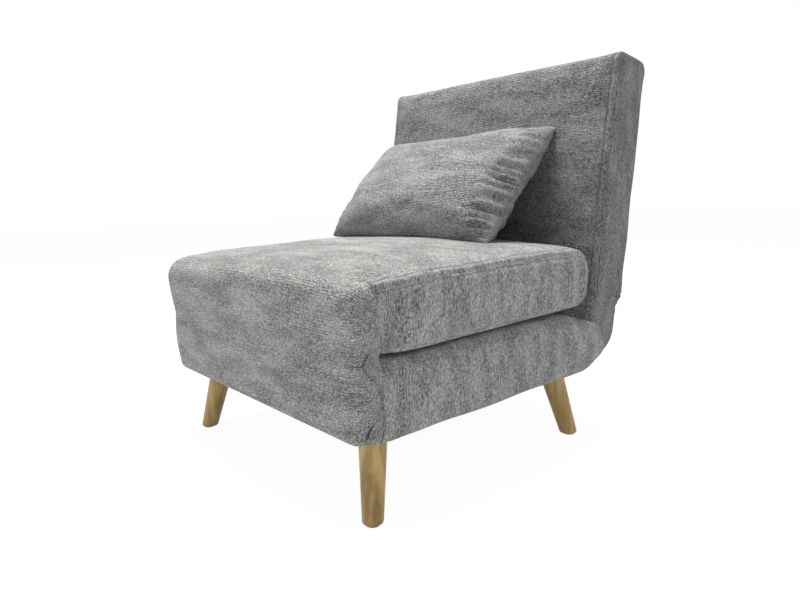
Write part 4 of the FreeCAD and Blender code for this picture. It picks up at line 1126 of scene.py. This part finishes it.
def rest_pillow(local):
    """Lean the pillow back, and flatten it where it touches the seat and the backrest."""
    lean_cos, lean_sin = math.cos(PILLOW_LEAN), math.sin(PILLOW_LEAN)
    back = local[:, 1] * lean_cos + local[:, 2] * lean_sin
    rise = -local[:, 1] * lean_sin + local[:, 2] * lean_cos
    placed = local.copy()
    placed[:, 0] = local[:, 0] * math.cos(PILLOW_YAW) - back * math.sin(PILLOW_YAW)
    placed[:, 1] = local[:, 0] * math.sin(PILLOW_YAW) + back * math.cos(PILLOW_YAW)
    placed[:, 2] = rise
    placed += np.array(PILLOW_FOOT)
    placed[:, 2] = np.maximum(placed[:, 2], seat_top(placed[:, 0], placed[:, 1]))
    along = (placed[:, 2] - PIVOT_Z - BACK_HALF * math.sin(BACK_LEAN)) / math.cos(BACK_LEAN)
    face_y = PIVOT_Y - (BACK_HALF + 0.008) * math.cos(BACK_LEAN) + along * math.sin(BACK_LEAN)
    placed[:, 1] = np.minimum(placed[:, 1], face_y)
    return placed


def zip_tape(finishes):
    """The closed zip under the pillow's lower seam."""
    half_length, half_width, height, cells = 0.231, 0.002, 0.0037, 46
    points, faces = [], []
    for number in range(cells + 1):
        x = half_length * (2 * number / cells - 1)
        for y, z in ((-half_width, 0), (half_width, 0), (half_width, height), (-half_width, height)):
            points.append((x, y, z))
    for number in range(cells):
        for side in range(4):
            here, other = 4 * number + side, 4 * number + (side + 1) % 4
            faces.append((here, other, other + 4, here + 4))
    faces.append((3, 2, 1, 0))
    faces.append(tuple(4 * cells + side for side in range(4)))
    points = np.array(points)
    tape = closed_piece("pillow_zip_tape", points, faces, points[:, 0].copy())
    tape.data.shade_flat()
    set_points(tape.data, rest_pillow(points_of(tape.data)))
    dress(tape, finishes["zip"])
    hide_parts("pillow_zip")
    return tape


def make_pillow(finishes):
    """Two panels sewn round the edge, filled, and leant against the backrest."""
    columns, rows = round(PILLOW_WIDTH / CELL), round(PILLOW_HEIGHT / CELL)
    points, faces, index = [], [], {}

    def label(face, row, column):
        rim = row in (0, rows) or column in (0, columns)
        return (0 if rim else face, row, column)

    for face in (1, -1):
        for row in range(rows + 1):
            for column in range(columns + 1):
                key = label(face, row, column)
                if key in index:
                    continue
                index[key] = len(points)
                points.append(pillow_point(key[0], 2 * column / columns - 1, 2 * row / rows - 1))
        for row in range(rows):
            for column in range(columns):
                ring = [(row, column), (row, column + 1), (row + 1, column + 1), (row + 1, column)]
                keys = [index[label(face, *spot)] for spot in ring]
                faces.append(keys[::-1] if face > 0 else keys)
    points = np.array(points)
    piece = closed_piece("scatter_pillow", points, faces, points[:, 2].copy())
    swell(piece, 0.016, stiffness=9.0)
    refine(piece)
    local = edge_folds(points_of(piece.data))
    for axis, size in ((0, PILLOW_WIDTH), (2, PILLOW_HEIGHT)):
        low, high = local[:, axis].min(), local[:, axis].max()
        local[:, axis] = (local[:, axis] - (low + high) / 2) * size / (high - low)
    local[:, 2] += PILLOW_HEIGHT / 2
    set_points(piece.data, rest_pillow(local))
    # The pillow's pile is darkened all over: painted shade.
    dress(piece, finishes["pillow_chenille"], finishes["seam"])
    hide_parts("pillow_cover", "pillow_filling")
    tape = zip_tape(finishes)
    for part in (piece, tape):
        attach(part, "pillow")
        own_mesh(part)


photo_camera()
studio()
finishes = all_finishes()
coat_solids(finishes)
make_seat_section(finishes)
make_base_section(finishes)
make_backrest(finishes)
make_pillow(finishes)

scene.view_settings.view_transform = "Standard"
